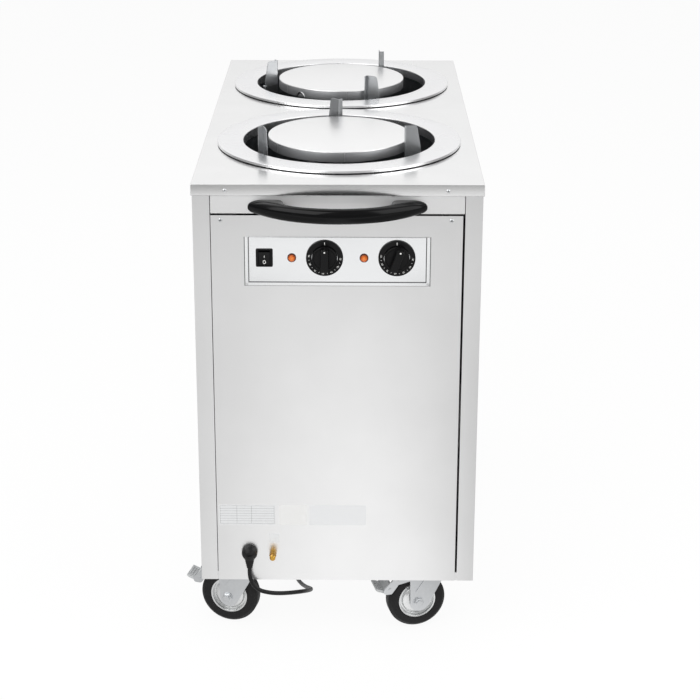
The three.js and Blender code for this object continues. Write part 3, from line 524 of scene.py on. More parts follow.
LEAD_RADIUS = 3.5
ON_FLOOR = LEAD_RADIUS + 0.4  # the height of its middle where it lies on the floor
COIL = {"centre": (-42.2, 330), "radius": 51, "pitch": 7.8, "rise": 7.6, "turns": 2.5}
COIL_ENTRY, PLUG_ENTRY = 323, 298  # how far back the coil begins, and the plug
LEAD_ROUTE = [
    (-144.6, -8.5, 147.7), (-144.6, -8.5, 136), (-143, -9.5, 126), (-138, -11, 116), (-128, -11.5, 107),
    (-112, -9, 101), (-96, -3, 96.5), (-79, 7.5, 91.5), (-62, 21, 86), (-52, 40, 77), (-47, 62, 66),
    (-46, 86, 54), (-49, 110, 42), (-54, 134, 30), (-60, 158, 19.5), (-66.5, 182, 11), (-73, 206, 5.6),
    (-79, 230, ON_FLOOR), (-85, 256, ON_FLOOR), (-90.5, 284, ON_FLOOR), (-93.2, 308, ON_FLOOR),
    (-93.2, COIL_ENTRY - 0.3, ON_FLOOR),
]


def smooth_route(points, steps=8):
    """A centripetal Catmull-Rom curve through given points."""
    places = [Vector(p) for p in points]
    places = [2 * places[0] - places[1], *places, 2 * places[-1] - places[-2]]
    curve = []
    for p0, p1, p2, p3 in zip(places, places[1:], places[2:], places[3:]):
        t1 = (p1 - p0).length ** 0.5
        t2 = t1 + (p2 - p1).length ** 0.5
        t3 = t2 + (p3 - p2).length ** 0.5
        for step in range(steps):
            t = t1 + (t2 - t1) * step / steps
            a1 = p0.lerp(p1, t / t1)
            a2 = p1.lerp(p2, (t - t1) / (t2 - t1))
            a3 = p2.lerp(p3, (t - t2) / (t3 - t2))
            b1 = a1.lerp(a2, t / t2)
            b2 = a2.lerp(a3, (t - t1) / (t3 - t1))
            curve.append(b1.lerp(b2, (t - t1) / (t2 - t1)))
    return curve + [places[-2]]


def coil_turns():
    """Turns in on the floor, a climb where the spiral reverses, and as many turns out."""
    steps = 36
    turns = 2 * COIL["turns"] + 0.5
    reversal = COIL["turns"] + 0.25
    points = [Vector((COIL["centre"][0] - COIL["radius"], COIL_ENTRY, ON_FLOOR))]
    for step in range(int(turns * steps) + 1):
        laid = step / steps
        radius = COIL["radius"] - COIL["pitch"] * (reversal - abs(laid - reversal))
        climb = min(max((laid - COIL["turns"]) / 0.5, 0), 1)
        angle = math.pi - 2 * math.pi * laid
        x, y = COIL["centre"][0] + radius * math.cos(angle), COIL["centre"][1] + radius * math.sin(angle)
        points.append(Vector((x, y, ON_FLOOR + climb * COIL["rise"])))
    points.append(Vector((COIL["centre"][0] + COIL["radius"], PLUG_ENTRY, ON_FLOOR + COIL["rise"])))
    return points


def power_plug():
    """A moulded two-pin plug with a ribbed boot, its lead coming in along +Y."""
    place = spot(COIL["centre"][0] + COIL["radius"], PLUG_ENTRY - 0.3, ON_FLOOR + COIL["rise"])
    boot = [(0, 0), (LEAD_RADIUS + 1, 0)]
    for rib in range(5):
        start, radius = 2 + 4 * rib, LEAD_RADIUS + 1.2 + 0.45 * rib
        boot += [(radius, start), (radius, start + 2.2)]
        boot += [(radius - 0.9, start + 2.6), (radius - 0.9, start + 3.8)]
    boot += [(7, 22), (7, 26), (0, 26)]
    body = slab(rounded([(-17, -9.5, 7), (17, -9.5, 7), (17, 9.5, 7), (-17, 9.5, 7)], 6), 24, 62)
    grips = [slab(rectangle(20, 20.6, 5), 30 + 5 * k, 32.2 + 5 * k) for k in range(4)]
    shape = shifted(together(turned(boot, 32), body, *grips), about_x=90)
    made = softened(piece("moulded_plug", shape, PVC, place, replaces=["plug"]), 1.0)
    pins = [shifted(turned([(0, 60), (2.4, 60), (2.4, 78.6), (1.6, 80), (0, 80)], 24), x=x, about_x=90)
            for x in (-9.5, 9.5)]
    return made, piece("plug_pins", together(*pins), BRASS, place)


def power_lead():
    """A round three-core lead: it drops from its boot, runs under the cart and lies coiled there."""
    data = bpy.data.curves.new("power_lead", "CURVE")
    data.dimensions = "3D"
    data.bevel_depth, data.bevel_resolution, data.use_fill_caps = LEAD_RADIUS * MM, 6, True
    points = smooth_route(LEAD_ROUTE) + coil_turns()
    line = data.splines.new("POLY")
    line.points.add(len(points) - 1)
    for point, place in zip(line.points, points):
        point.co = (*at(*place), 1)
    line.use_smooth = True
    data.materials.append(PVC)
    lead = placed("power_lead", data)
    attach(lead, "cabinet")
    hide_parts("power_cord", "cord_coil")
    plug, pins = power_plug()


set_camera()
power_lead()

# ---------------- cabinet

for name in ("side_panel_left", "side_panel_right", "front_panel", "rear_panel", "base_pan"):
    dressed(name, PANEL_STEEL)
dressed("front_rail", RAIL_STEEL)
dressed("lid", DECK_STEEL, 0.9)
dressed("control_plate", PLATE_STEEL, 0.3)


def rivet(name, x, z, y=0, facing=90):
    """A blind rivet: a low dome, with a dark disc of painted shade in the hole of its drawn stem."""
    dome = turned([(0.9, 0), (2.9, 0), (2.9, 0.4), (2.2, 1.1), (1.2, 1.4), (0.9, 1.2)], 32, closed=True)
    place = spot(x, y, z, about_x=facing)
    piece(name, dome, ZINC, place)
    # a dark disc of painted shade in the stem's hole
    piece(f"{name}_stem_hole_painted_shade", bar(0.95, 0, 0.5, 16), HOLE_PAINTED_SHADE, place)


def screw(name, x, z, turn=0):
    """A pan-head screw in the front, its cross recess shown by a dark cross of painted shade."""
    head = turned([(0, 0), (3.2, 0), (3.2, 0.9), (2.4, 1.9), (1.2, 2.3), (0, 2.4)], 32)
    cross = together(slab(rectangle(3.4, 0.8, 0.2), 1.9, 2.43), slab(rectangle(0.8, 3.4, 0.2), 1.9, 2.43))
    place = spot(x, 0, z, about_x=90)
    piece(name, head, ZINC, place)
    # a dark cross of painted shade where the recess is
    piece(f"{name}_recess_painted_shade", shifted(cross, about_z=turn), HOLE_PAINTED_SHADE, place)


SKIRT_FACE = low_corner("lid").y
rivet("skirt_rivet_left", -174, 795.2, SKIRT_FACE)
rivet("skirt_rivet_right", 170.6, 795.2, SKIRT_FACE)
screw("panel_screw_left", -181.7, 747, turn=20)
screw("panel_screw_right", 176.9, 747, turn=50)
REAR_RIVETS = {"rows": (150, 460, 770), "aside": 188}
for i, z in enumerate(REAR_RIVETS["rows"]):
    for side, x in zip(SIDES, (-REAR_RIVETS["aside"], REAR_RIVETS["aside"])):
        rivet(f"rear_rivet_{side}_{i + 1}", x, z, DEPTH, facing=-90)


def label(name, x, z, width, height, finish):
    """A thin plate stuck to the front panel, left blank."""
    shape = shifted(slab(rectangle(width, height, 1.2), 0, 0.18), about_x=90)
    return piece(name, shape, finish, spot(x, 0, z))


def ruled_plate(x, z, width, height):
    """A foil plate with the printed rules of an empty form."""
    label("foil_plate", x, z, width, height, FOIL)
    rows, line, margin = 7, 0.4, 2.2
    half, foot = width / 2 - margin, margin - height / 2
    pitch = (height - 2 * margin) / rows

    def rule(x0, x1, y0, y1):
        return slab([(x0, y0), (x1, y0), (x1, y1), (x0, y1)], 0.1, 0.24)

    rules = [rule(-half, half, foot + pitch * row, foot + pitch * row + line) for row in range(rows + 1)]
    for share in (0, 0.31, 0.58, 1):
        edge = -half + 2 * half * share
        rules.append(rule(edge - line / 2, edge + line / 2, foot, -foot))
    piece("foil_plate_rules", shifted(together(*rules), about_x=90), LABEL_LINE, spot(x, 0, z))


LABEL_ROW = 239.8
ruled_plate(-147.8, LABEL_ROW, 93, 36)
label("blank_label_middle", -72.7, LABEL_ROW, 45, 36, WHITE_VINYL)
label("blank_label_right", 0.5, LABEL_ROW, 93, 36, FOIL)
label("small_blank_label", -103.9, 197.5, 17, 17, FOIL)

# ---------------- wells

CLEAR = 0.3  # the smallest gap between two pieces
WELL_RADIUS, WELL_SHEET, WELL_COLLAR = 175, 1.5, 15
LUG = {"radius": 8, "sheet": 3, "above_floor": 18, "below_deck": 35}
HEATER = {"radius": 95, "height": 25, "sheath": 4, "tails": 12, "bends": 24}
WELD_ANGLES = (212, 275)  # degrees about the platform
NOTCH = {"radius": 9, "turn": -39.4, "lip": 1.06}
WELL_FLOOR = low_corner("well_tube_front").z + WELL_SHEET
RING = {"outer": 204, "opening": 160.5, "sheet": 1.5, "shadow_gap": 1.5}
PLATFORM = {"radius": 119, "sheet": 1.5, "skirt": 17.5}  # the solid's skirt is 3.5 mm deeper
SPRING = {"radius": 50, "wire": 6, "turns": 9, "closed_pitch": 7.2, "seat": 12}
SPRING_SEAT = SPRING["radius"] - SPRING["wire"] / 2 - 4  # the radius of what holds the spring's ends
GUIDE = {"blade": 28, "lip": 9, "sheet": 1.5, "skew": 38, "taper": 7, "rod": 4}
GUIDE_TURNS = {"plate_guide_front_3": 38}  # degrees outwards, as it is left in the photograph


def well(end):
    """The deep tube: its floor with the spring's seat, its collar, and the guides' lugs."""
    centre = middle(f"top_ring_{end}")
    inside, collar = WELL_RADIUS - WELL_SHEET, top(f"well_tube_{end}")
    seat, under = SPRING_SEAT, WELL_FLOOR - WELL_SHEET
    profile = [
        (0, under), (WELL_RADIUS, under), (WELL_RADIUS, collar - WELL_SHEET),
        (WELL_RADIUS + WELL_COLLAR, collar - WELL_SHEET), (WELL_RADIUS + WELL_COLLAR, collar),
        (inside, collar),
        (inside, WELL_FLOOR), (seat, WELL_FLOOR), (seat, WELL_FLOOR + SPRING["seat"]),
        (0, WELL_FLOOR + SPRING["seat"]),
    ]
    lugs = []
    for i in (1, 2, 3):
        hinge = joint_place(f"guide_{end}_{i}_turn") - centre
        reach, angle = Vector((hinge.x, hinge.y)).length, math.degrees(math.atan2(hinge.y, hinge.x))
        half, root = LUG["radius"], inside + 0.5
        plate = arc((reach, 0), half, 90, 270, 12) + [Vector((root, -half)), Vector((root, half))]
        for height in (WELL_FLOOR + LUG["above_floor"], DECK - LUG["below_deck"]):
            lugs.append(shifted(slab(plate, height, height + LUG["sheet"]), about_z=angle))
    shape = together(turned(profile, 128), *lugs)
    piece(f"drawn_well_{end}", shape, WELL_STEEL, below(f"top_ring_{end}"), replaces=[f"well_tube_{end}"])


def spun_ring(end):
    """The raised ring: rolled down on the deck outside, and into the well inside."""
    node = f"top_ring_{end}"
    low, high, hem = low_corner(node).z, top(node), DECK + RING["shadow_gap"]
    outer, opening, sheet = RING["outer"], RING["opening"], RING["sheet"]
    profile = rounded([
        (opening, low), (opening + sheet, low), (opening + sheet, high - sheet, 1.0),
        (outer - sheet, high - sheet, 1.0), (outer - sheet, hem), (outer, hem),
        (outer, high, 1.6), (opening, high, 2.0),
    ], 6)
    piece(f"spun_ring_{end}", turned(profile, 192, closed=True), SPUN_STEEL, below(node), replaces=[node])


def pressed_platform(end):
    """The plate that carries the stack: a polished disc, its satin skirt with a weld, and a boss."""
    body = f"platform_{end}"
    high, place = top(body), below(body)
    radius, sheet, depth = PLATFORM["radius"], PLATFORM["sheet"], PLATFORM["skirt"]
    under, hem, boss = high - sheet, high - depth, SPRING_SEAT
    disc = rounded([
        (0, high), (radius, high, 1.2), (radius, high - 1.7), (radius - sheet, high - 1.7),
        (radius - sheet, under), (boss, under), (boss, under - SPRING["seat"]), (0, under - SPRING["seat"]),
    ])
    skirt = rounded([
        (radius - sheet, hem), (radius, hem, 0.5), (radius, high - 2.1, 0.3), (radius - sheet, high - 2.1),
    ])
    piece(f"pressed_platform_{end}", turned(disc, 160), DISC_STEEL, place, body, [body])
    piece(f"platform_skirt_{end}", turned(skirt, 160, closed=True), SKIRT_STEEL, place, body)
    for i, angle in enumerate(WELD_ANGLES):
        bead = slab(rectangle(1.2, depth - 3, 0.5), radius - 0.3, radius + 0.12)
        weld = shifted(shifted(shifted(bead, about_x=90), z=hem + depth / 2), about_z=angle + 90)
        piece(f"skirt_weld_{end}_{i + 1}", weld, SPUN_STEEL, place, body)


def skirt_notch():
    """A half-round cut-out in the rear platform's skirt, its edge turned out, its opening a dark half-disc
    of painted shade.
    """
    hem = top("platform_rear") - PLATFORM["skirt"]
    bend, foot = PLATFORM["radius"], Vector((0, hem))

    def on_skirt(points, out):
        reach = bend + out
        return [(reach * math.sin(x / bend), -reach * math.cos(x / bend), z) for x, z in points]

    arch = arc(foot, NOTCH["radius"], 0, 180, 16)
    hole = on_skirt(arch, 0.1), [tuple(range(len(arch)))]
    edge_points = on_skirt([foot + (p - foot) * NOTCH["lip"] for p in arch], 0.3)
    rim = tube([Vector(p) for p in edge_points], 0.6, 8)
    place = below("platform_rear", NOTCH["turn"])
    # a flat dark half-disc of painted shade in place of the opening
    piece("skirt_notch_painted_shade", hole, HOLE_PAINTED_SHADE, place, "platform_rear")
    piece("skirt_notch_edge", rim, SPUN_STEEL, place, "platform_rear")


def wound_spring(end):
    """The coil spring with its closed end turns."""
    low = WELL_FLOOR + CLEAR + SPRING["wire"] / 2
    high = top(f"platform_{end}") - PLATFORM["sheet"] - CLEAR - SPRING["wire"] / 2
    radius, closed, turns = SPRING["radius"], SPRING["closed_pitch"], SPRING["turns"]
    open_pitch = (high - low - 2 * closed) / (turns - 2)
    points, steps = [], 32
    for step in range(turns * steps + 1):
        laid = step / steps
        opened = min(max(laid - 1, 0), turns - 2)
        angle = 2 * math.pi * laid
        height = low + opened * open_pitch + (laid - opened) * closed
        points.append(Vector((radius * math.cos(angle), radius * math.sin(angle), height)))
    made = piece(f"wound_spring_{end}", tube(points, SPRING["wire"] / 2, 10), SPRING_STEEL,
                 below(f"spring_{end}"), replaces=[f"spring_{end}"])
    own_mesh(made)


def bent_heater(end):
    """A tubular heater bent round the spring, its two tails through the floor."""
    radius, height, bends = HEATER["radius"], WELL_FLOOR + HEATER["height"], HEATER["bends"]
    tails = [Matrix.Rotation(math.radians(angle), 3, "Z") @ Vector((radius, 0, 0))
             for angle in (HEATER["tails"], 360 - HEATER["tails"])]
    loop = [Vector((*p, height)) for p in arc((0, 0), radius, bends, 360 - bends, 60)]
    first = [tails[0] + Vector((0, 0, WELL_FLOOR + z)) for z in (-15, 0, 12.5)]
    last = [tails[1] + Vector((0, 0, WELL_FLOOR + z)) for z in (12.5, 0, -15)]
    points = smooth_route([*first, *loop, *last], 3)
    piece(f"bent_heater_{end}", tube(points, HEATER["sheath"], 16), HEATER_STEEL, below(f"spring_{end}"),
          replaces=[f"heater_{end}"])


def folded_guide(end, number):
    """An L of sheet on a rod: its blade tapers above the deck to a rounded shoulder."""
    node, hinge = f"plate_guide_{end}_{number}", joint_place(f"guide_{end}_{number}_turn")
    towards = middle(f"top_ring_{end}") - hinge
    distance = Vector((towards.x, towards.y)).length
    skew = math.radians(GUIDE["skew"])
    lean = math.asin(GUIDE["blade"] * math.sin(skew) / distance)
    facing = math.degrees(math.atan2(towards.y, towards.x)) + GUIDE["skew"] - math.degrees(lean)
    facing += GUIDE_TURNS.get(node, 0)
    low, high, sheet, wide = WELL_FLOOR + 10.3, top(node), GUIDE["sheet"] / 2, GUIDE["blade"]
    blade = [Vector((0, low)), Vector((wide, low))]
    blade += rounded([(wide, high), (GUIDE["taper"], high, 7), (0, DECK)], 8)
    inner = wide - 2 * sheet
    lip = [Vector(p) for p in ((inner, low), (wide, low), (wide, high), (inner, high))]
    fold = upright(lip, -sheet, GUIDE["lip"])
    rod = bar(GUIDE["rod"], WELL_FLOOR + CLEAR, DECK - 5, 24)
    place = spot(hinge.x, hinge.y, 0, about_z=facing)
    shape = together(upright(blade, -sheet, sheet), fold, rod)
    made = piece(f"folded_guide_{end}_{number}", shape, GUIDE_STEEL, place, f"guide_{end}_{number}", [node])
    softened(made, 0.35, 2)


for end in ENDS:
    well(end)
    spun_ring(end)
    pressed_platform(end)
    wound_spring(end)
    bent_heater(end)
    for number in (1, 2, 3):
        folded_guide(end, number)
skirt_notch()

# ---------------- control panel

PLATE_FACE = low_corner("control_plate").y
DIAL = {"radius": 29, "height": 4, "numbers": (30, 40, 50, 60, 70, 80, 90), "first": 92, "last": 279}
KNOB_RADIUS = 19.7
PRINT = 0.06  # how far printed marks stand out
ROCKER = {"half": 11.2, "dip": 1.6, "rise": 3.4, "pin_depth": 2.5, "tilt": 8}


def on_plate(node, turn=0):
    """A place on the control plate, its own Z coming out of the plate, its own Y up."""
    centre = middle(node)
    return spot(centre.x, PLATE_FACE, centre.z, about_x=90) @ rotation(turn, "Z")


def three_sides(left, right, low, high, width):
    """Flat strips that wide inside the left, right and lower sides of an upright rectangle."""
    spans = [
        (left, left + width, low, high), (right - width, right, low, high), (left, right, low, low + width),
    ]
    strips = [slab([(x0, z0), (x1, z0), (x1, z1), (x0, z1)], 0, PRINT) for x0, x1, z0, z1 in spans]
    return shifted(together(*strips), about_x=90)


def plate_surround():
    """Painted shadow in the slit round the control plate's three lower sides, the polished face of the
    raised rim outside it, and painted shadow where that rim rises from the panel."""
    low, high = (measured(corner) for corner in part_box("control_plate"))
    gap, rim, line = 0.3, 5, 1.3

    def band(reach, width):
        return three_sides(low.x - reach, high.x + reach, low.z - reach, high.z, width)

    rim_face = low_corner("front_panel").y
    # dark strips of painted shadow: in the slit, and at the rim's foot
    piece("plate_slit_painted_shadow", band(gap, 1.4), SEAM_SHADOW, spot(0, PLATE_FACE, 0))
    piece("rim_face", band(gap + rim - 0.3, rim - 0.6), PLATE_STEEL, spot(0, rim_face + 0.02, 0))
    piece("rim_foot_painted_shadow", band(gap + rim + line, line), SEAM_SHADOW, spot(0, 0, 0))


def lettered(text, size):
    """The flat shape of a few characters, centred, in millimetres."""
    data = bpy.data.curves.new("letters", "FONT")
    data.body, data.size, data.align_x, data.align_y = text, size, "CENTER", "CENTER"
    data.extrude = PRINT
    letters = placed("letters", data)
    mesh = letters.to_mesh()
    shape = [tuple(v.co) for v in mesh.vertices], [tuple(p.vertices) for p in mesh.polygons]
    letters.to_mesh_clear()
    bpy.data.objects.remove(letters)
    bpy.data.curves.remove(data)
    return shape


def dial_ring(side):
    """The fixed ring of the dial, with its printed scale and the mark at the top."""
    radius, height = DIAL["radius"], DIAL["height"]
    place = on_plate(f"dial_bezel_{side}")
    inside = KNOB_RADIUS + 0.6
    profile = rounded([(inside, 0.3), (radius, 0.3), (radius, height, 1.4), (inside, height - 0.6, 0.3)])
    piece(f"moulded_dial_{side}", turned(profile, 96, closed=True), KNOB_BLACK, place,
          replaces=[f"dial_bezel_{side}"])
    marks, steps = [], len(DIAL["numbers"]) - 1
    span, face = DIAL["last"] - DIAL["first"], height - 0.2
    middle_radius = (radius + KNOB_RADIUS) / 2 + 0.2
    tick = slab(rectangle(0.45, 1.6, 0.1), -PRINT, PRINT)
    for i, number in enumerate(DIAL["numbers"]):
        angle = DIAL["first"] + span * i / steps
        marks.append(shifted(shifted(lettered(str(number), 3.7), y=middle_radius), z=face, about_z=-angle))
        if i < steps:
            half_way = angle + span / steps / 2
            marks.append(shifted(shifted(tick, y=middle_radius), z=face, about_z=-half_way))
    index = slab(rectangle(0.9, 4.4, 0.2), -PRINT, PRINT)
    marks.append(shifted(index, y=middle_radius, z=face))
    piece(f"dial_scale_{side}", together(*marks), WHITE_INK, place, smooth=10)


def pointer_knob(side, turn):
    """A round knob with a bar grip, its shallow skirt hollow at the edge, and a white dot."""
    place = on_plate(f"dial_bezel_{side}", turn)
    back, face = 1.6, 7.1
    disc = rounded([
        (0, back), (KNOB_RADIUS, back), (KNOB_RADIUS, face, 1.2), (KNOB_RADIUS - 2.4, face),
        (KNOB_RADIUS - 3.2, face - 0.5, 0.4), (0, face - 0.5),
    ])
    spindle = bar(3, -12, back + 1, 24)
    body = together(turned(disc, 96), spindle)
    knob = piece(f"turned_knob_{side}", body, KNOB_BLACK, place, f"knob_{side}", [f"knob_{side}"])
    half, thin, ends, spread = 7.5, 6, 19, 21.5
    outline = [point for end in (90, 270) for point in arc((0, 0), ends, end - spread, end + spread, 8)]
    low, high = face - 1, face + 14
    grip = lofted([
        [(x, y, low) for x, y in outline], [(x * thin / half, y * 0.965, high) for x, y in outline],
    ])
    softened(piece(f"knob_grip_{side}", grip, KNOB_BLACK, place, f"knob_{side}"), 1.3, 4)
    dot = shifted(bar(1.3, 0, 0.1, 24), y=15.2, z=high - 0.03)
    piece(f"knob_dot_{side}", dot, WHITE_INK, place, f"knob_{side}")


def indicator(side):
    """A push-in lamp: a domed, faceted amber lens in its own rim."""
    profile = [
        (0, -16), (5.5, -16), (5.5, 0.3), (LENS_RIM, 0.3), (LENS_RIM, 1.6), (6.7, 1.9), (5.7, 2.0),
        (5.5, 3.2), (4.6, 4.4), (2.6, 5.1), (0, 5.2),
    ]
    piece(f"lens_{side}", turned(profile, 16), AMBER, on_plate(f"indicator_lamp_{side}"),
          replaces=[f"indicator_lamp_{side}"], smooth=12)


def switch_marks():
    """I and O, printed on the two slopes of the rocker's dished face, which tips about its pin."""
    pin = ROCKER["pin_depth"]
    tilt = Matrix.Translation((0, 0, -pin)) @ rotation(ROCKER["tilt"], "X")
    tilt = tilt @ Matrix.Translation((0, 0, pin))
    slope = (ROCKER["rise"] - ROCKER["dip"]) / ROCKER["half"]

    def on_face(shape, y):
        lean = math.copysign(math.atan(slope), y)
        resting = Matrix.Translation((0, y, ROCKER["dip"] + slope * abs(y))) @ Matrix.Rotation(lean, 4, "X")
        return moved(shape, tilt @ resting)

    line = on_face(slab(rectangle(0.8, 4.2, 0.2), 0, 0.1), 3.0)
    ring = turned([(1.7, 0), (2.4, 0), (2.4, 0.1), (1.7, 0.1)], 32, closed=True)
    oval = on_face(moved(ring, Matrix.Diagonal((1, 1.25, 1, 1))), -6.2)
    piece("switch_marks", together(line, oval), WHITE_INK, on_plate("switch_housing"), "rocker")


for node in ("switch_housing", "switch_rocker"):
    dressed(node, KNOB_BLACK, 0.4)
for side in SIDES:
    dressed(f"thermostat_{side}", DARK_PHENOLIC, 0.8)
    dial_ring(side)
    indicator(side)
pointer_knob("left", 0)
pointer_knob("right", -20)
plate_surround()
switch_marks()

# ---------------- handle, gland, stud

HANDLE = {"span": 278, "reach": 58, "thick": 18, "tall": 24, "foot": 55}


def bezier(p0, p1, p2, p3, steps=24):
    """Points on a cubic curve, with both its ends."""
    points = []
    for step in range(steps + 1):
        t = step / steps
        a, b, c, d = (1 - t) ** 3, 3 * t * (1 - t) ** 2, 3 * t * t * (1 - t), t ** 3
        points.append(Vector(p0) * a + Vector(p1) * b + Vector(p2) * c + Vector(p3) * d)
    return points


def bow_handle():
    """A glossy bow whose full, rounded section widens into a foot at either end, square inside."""
    foot, inner = HANDLE["span"] / 2, HANDLE["span"] / 2 - HANDLE["foot"]
    wall, out = -0.3, -HANDLE["reach"]
    grip, half_tall = out + HANDLE["thick"], HANDLE["tall"] / 2
    outside = bezier((foot, wall), (0.736 * foot, 0.64 * out), (0.376 * foot, out), (0, out))
    inside = bezier((inner, wall), (0.99 * inner, 0.66 * grip), (0.62 * inner, 0.97 * grip), (0, grip))
    pairs = list(zip(outside, inside))
    pairs += [(Vector((-o.x, o.y)), Vector((-i.x, i.y))) for o, i in reversed(pairs[:-1])]
    sections, points = [], 40
    for step, (outer, near) in enumerate(pairs):
        centre, reach = (outer + near) / 2, (outer - near) / 2
        from_wall = min(step, len(pairs) - 1 - step)
        inner_curve = min(0.35 + 0.05 * from_wall, 0.8)
        ring = []
        for k in range(points):
            angle = 2 * math.pi * k / points
            curve = 0.85 if math.cos(angle) > 0 else inner_curve
            width = math.copysign(abs(math.cos(angle)) ** curve, math.cos(angle))
            rise = math.copysign(abs(math.sin(angle)) ** curve, math.sin(angle))
            place = centre + reach * width
            ring.append((place.x, place.y, half_tall * rise))
        sections.append(ring)
    piece("bow_handle", lofted(sections), BLACK_ABS, spot(0, 0, middle("handle").z), replaces=["handle"])


GLAND_RADIUS = 13


def cord_boot():
    """The lead's strain relief: a round bulb on the panel and a ribbed boot that hangs from it."""
    start = Vector(LEAD_ROUTE[0])
    height = top("cord_gland") - GLAND_RADIUS
    place, drop = spot(start.x, 0, height), start.z - height
    bulb = rounded([
        (0, -13.6), (6.8, -13.6), (6.8, 0.3), (GLAND_RADIUS, 0.3), (GLAND_RADIUS, 6, 2.5),
        (0.88 * GLAND_RADIUS, 11, 2), (0.45 * GLAND_RADIUS, 15, 2), (0, 15.3),
    ], 5)
    boot = [(0, 0), (8.7, 0), (8.7, -6)]
    for rib in range(4):
        z, radius = -7 - 4 * rib, 8 - 0.8 * rib
        boot += [(radius, z), (radius, z - 2.3), (radius - 1, z - 2.7), (radius - 1, z - 3.6)]
    boot += [(5, drop + 0.3), (0, drop + 0.3)]
    shape = together(shifted(turned(bulb, 48), about_x=90), shifted(turned(boot, 40), y=start.y))
    piece("cord_boot", shape, GLAND_RUBBER, place, replaces=["cord_gland"])


def brass_stud():
    """An earthing stud: a threaded end, a hexagon nut, a washer, and a knurled thumb nut."""
    centre = middle("earth_stud")
    place = spot(centre.x, 0, centre.z, about_x=90)
    thread = [(0, -10), (2.6, -10)]
    for turn in range(20):
        height = -9.5 + 0.8 * turn
        thread += [(3, height), (2.6, height + 0.4)]
    thread += [(2.6, 15.5), (3.4, 16), (3.8, 17), (3.8, 20.5), (2.6, 22), (0, 22)]
    washer = bar(5.4, 6.1, 7.3, 40)
    nuts = [turned([(0, low), (5.4, low), (5.9, low + 0.6), (5.9, high - 0.6), (5.4, high), (0, high)], 6)
            for low, high in ((0.3, 6), (7.5, 13))]
    cap = turned(rounded([(0, 13), (4.6, 13), (4.9, 21, 1.4), (0, 22, 1)]), 24)
    shape = together(turned(thread, 32), washer, *nuts, cap)
    piece("brass_stud", shape, BRASS, place, replaces=["earth_stud"], smooth=25)


bow_handle()
cord_boot()
brass_stud()

# ---------------- casters

TYRE = {"radius": 50, "width": 28}
HUB = {"radius": 32.2, "cover": 24.5}
FORK = {"sheet": 2.8, "crown": 29, "inside": 17.5, "foot": 17, "race": 26, "above_tyre": 2.7}
PAD = {"reach": 100.5, "half": 17, "ridge": 0.7}
BOLT_PLACES = [(x, y) for x in (-36, 36) for y in (-29, 29)]


def swivel(corner):
    """The caster's own frame on the floor under its kingpin, +X towards its wheel."""
    pin, axle = joint_place(f"swivel_{corner}_turn"), joint_place(f"wheel_{corner}_spin")
    heading = math.degrees(math.atan2(axle.y - pin.y, axle.x - pin.x))
    trail = Vector((axle.x - pin.x, axle.y - pin.y)).length
    return spot(pin.x, pin.y, 0, about_z=heading), trail, axle.z


def across(place, x, z):
    """A place in a caster's own frame, its Z along the wheel's axle."""
    return place @ Matrix.Translation(Vector((x, 0, z)) * MM) @ rotation(90, "X")


def pedal_hinge(corner):
    """Where the brake pedal turns, as X and Z in the caster's own frame."""
    pin, hinge = joint_place(f"swivel_{corner}_turn"), joint_place(f"brake_{corner}_press")
    return Vector((hinge.x - pin.x, hinge.y - pin.y)).length, hinge.z


def hexagon(radius, low, high):
    """A chamfered hexagon head along Z."""
    return turned([(0, low), (radius, low), (radius, high - 0.8), (radius * 0.86, high), (0, high)], 6)


def pressed_fork(corner):
    """The turning fork: two pressed legs with a rib down each, their crown, the race and the axle."""
    place, trail, height = swivel(corner)
    high = top(f"caster_fork_{corner}")
    crown_high = 2 * TYRE["radius"] + FORK["above_tyre"] + FORK["sheet"]
    back, inside, outside = -0.74 * FORK["crown"], FORK["inside"], FORK["inside"] + FORK["sheet"]
    foot, centre = FORK["foot"], trail - 2
    leg = [Vector((back, crown_high)), Vector((back, crown_high - 6))]
    leg += arc((centre, height), foot, 207, 333, 20)
    leg.append(Vector((centre + foot, crown_high - 14)))
    if f"brake_{corner}_press" in joints:
        x, z = pedal_hinge(corner)
        leg += rounded([
            (x - 14, z + 6, 3), (x - 3, z - 9, 4), (x + 10, z - 9, 5), (x + 11, z, 4),
            (x - 13, crown_high - 2, 4),
        ], 5)
    leg.append(Vector((trail + foot, crown_high)))
    legs = [upright(leg, inside, outside), upright(leg, -outside, -inside)]
    rib = rounded([
        (2, crown_high - 3), (9, crown_high - 3),
        (centre + 9, height + 18, 4), (centre + 3, height + 14, 3),
    ], 4)
    ribs = [upright(rib, outside - 0.2, outside + 1.1), upright(rib, -outside - 1.1, -outside + 0.2)]
    crown = slab(arc((0, 0), FORK["crown"], 60, 300, 40), crown_high - FORK["sheet"], crown_high)
    tip = trail + foot - 4
    bridge_outline = [(back, -outside), (tip, -outside), (tip, outside), (back, outside)]
    bridge = slab(bridge_outline, crown_high - FORK["sheet"], crown_high)
    race_edge, race_foot = FORK["race"] + 1, crown_high - 0.5
    race_outline = rounded([(0, race_foot), (race_edge, race_foot, 0.8), (race_edge, high, 1.2), (0, high)])
    race = turned(race_outline, 64)
    body, shape = f"swivel_{corner}", together(*legs, *ribs, crown, bridge, race)
    softened(piece(f"pressed_fork_{corner}", shape, ZINC, place, body, [f"caster_fork_{corner}"]), 0.8, 3)
    side = outside + 0.2
    nut = hexagon(8.5, side, side + 4.2)
    bolt, sleeve = bar(5, -outside - 6.5, outside + 6.5, 24), bar(9.5, -side - 0.6, side + 0.6, 32)
    axle = together(bolt, sleeve, nut, moved(nut, rotation(180, "X")))
    piece(f"axle_bolt_{corner}", axle, ZINC, across(place, trail, height), body)


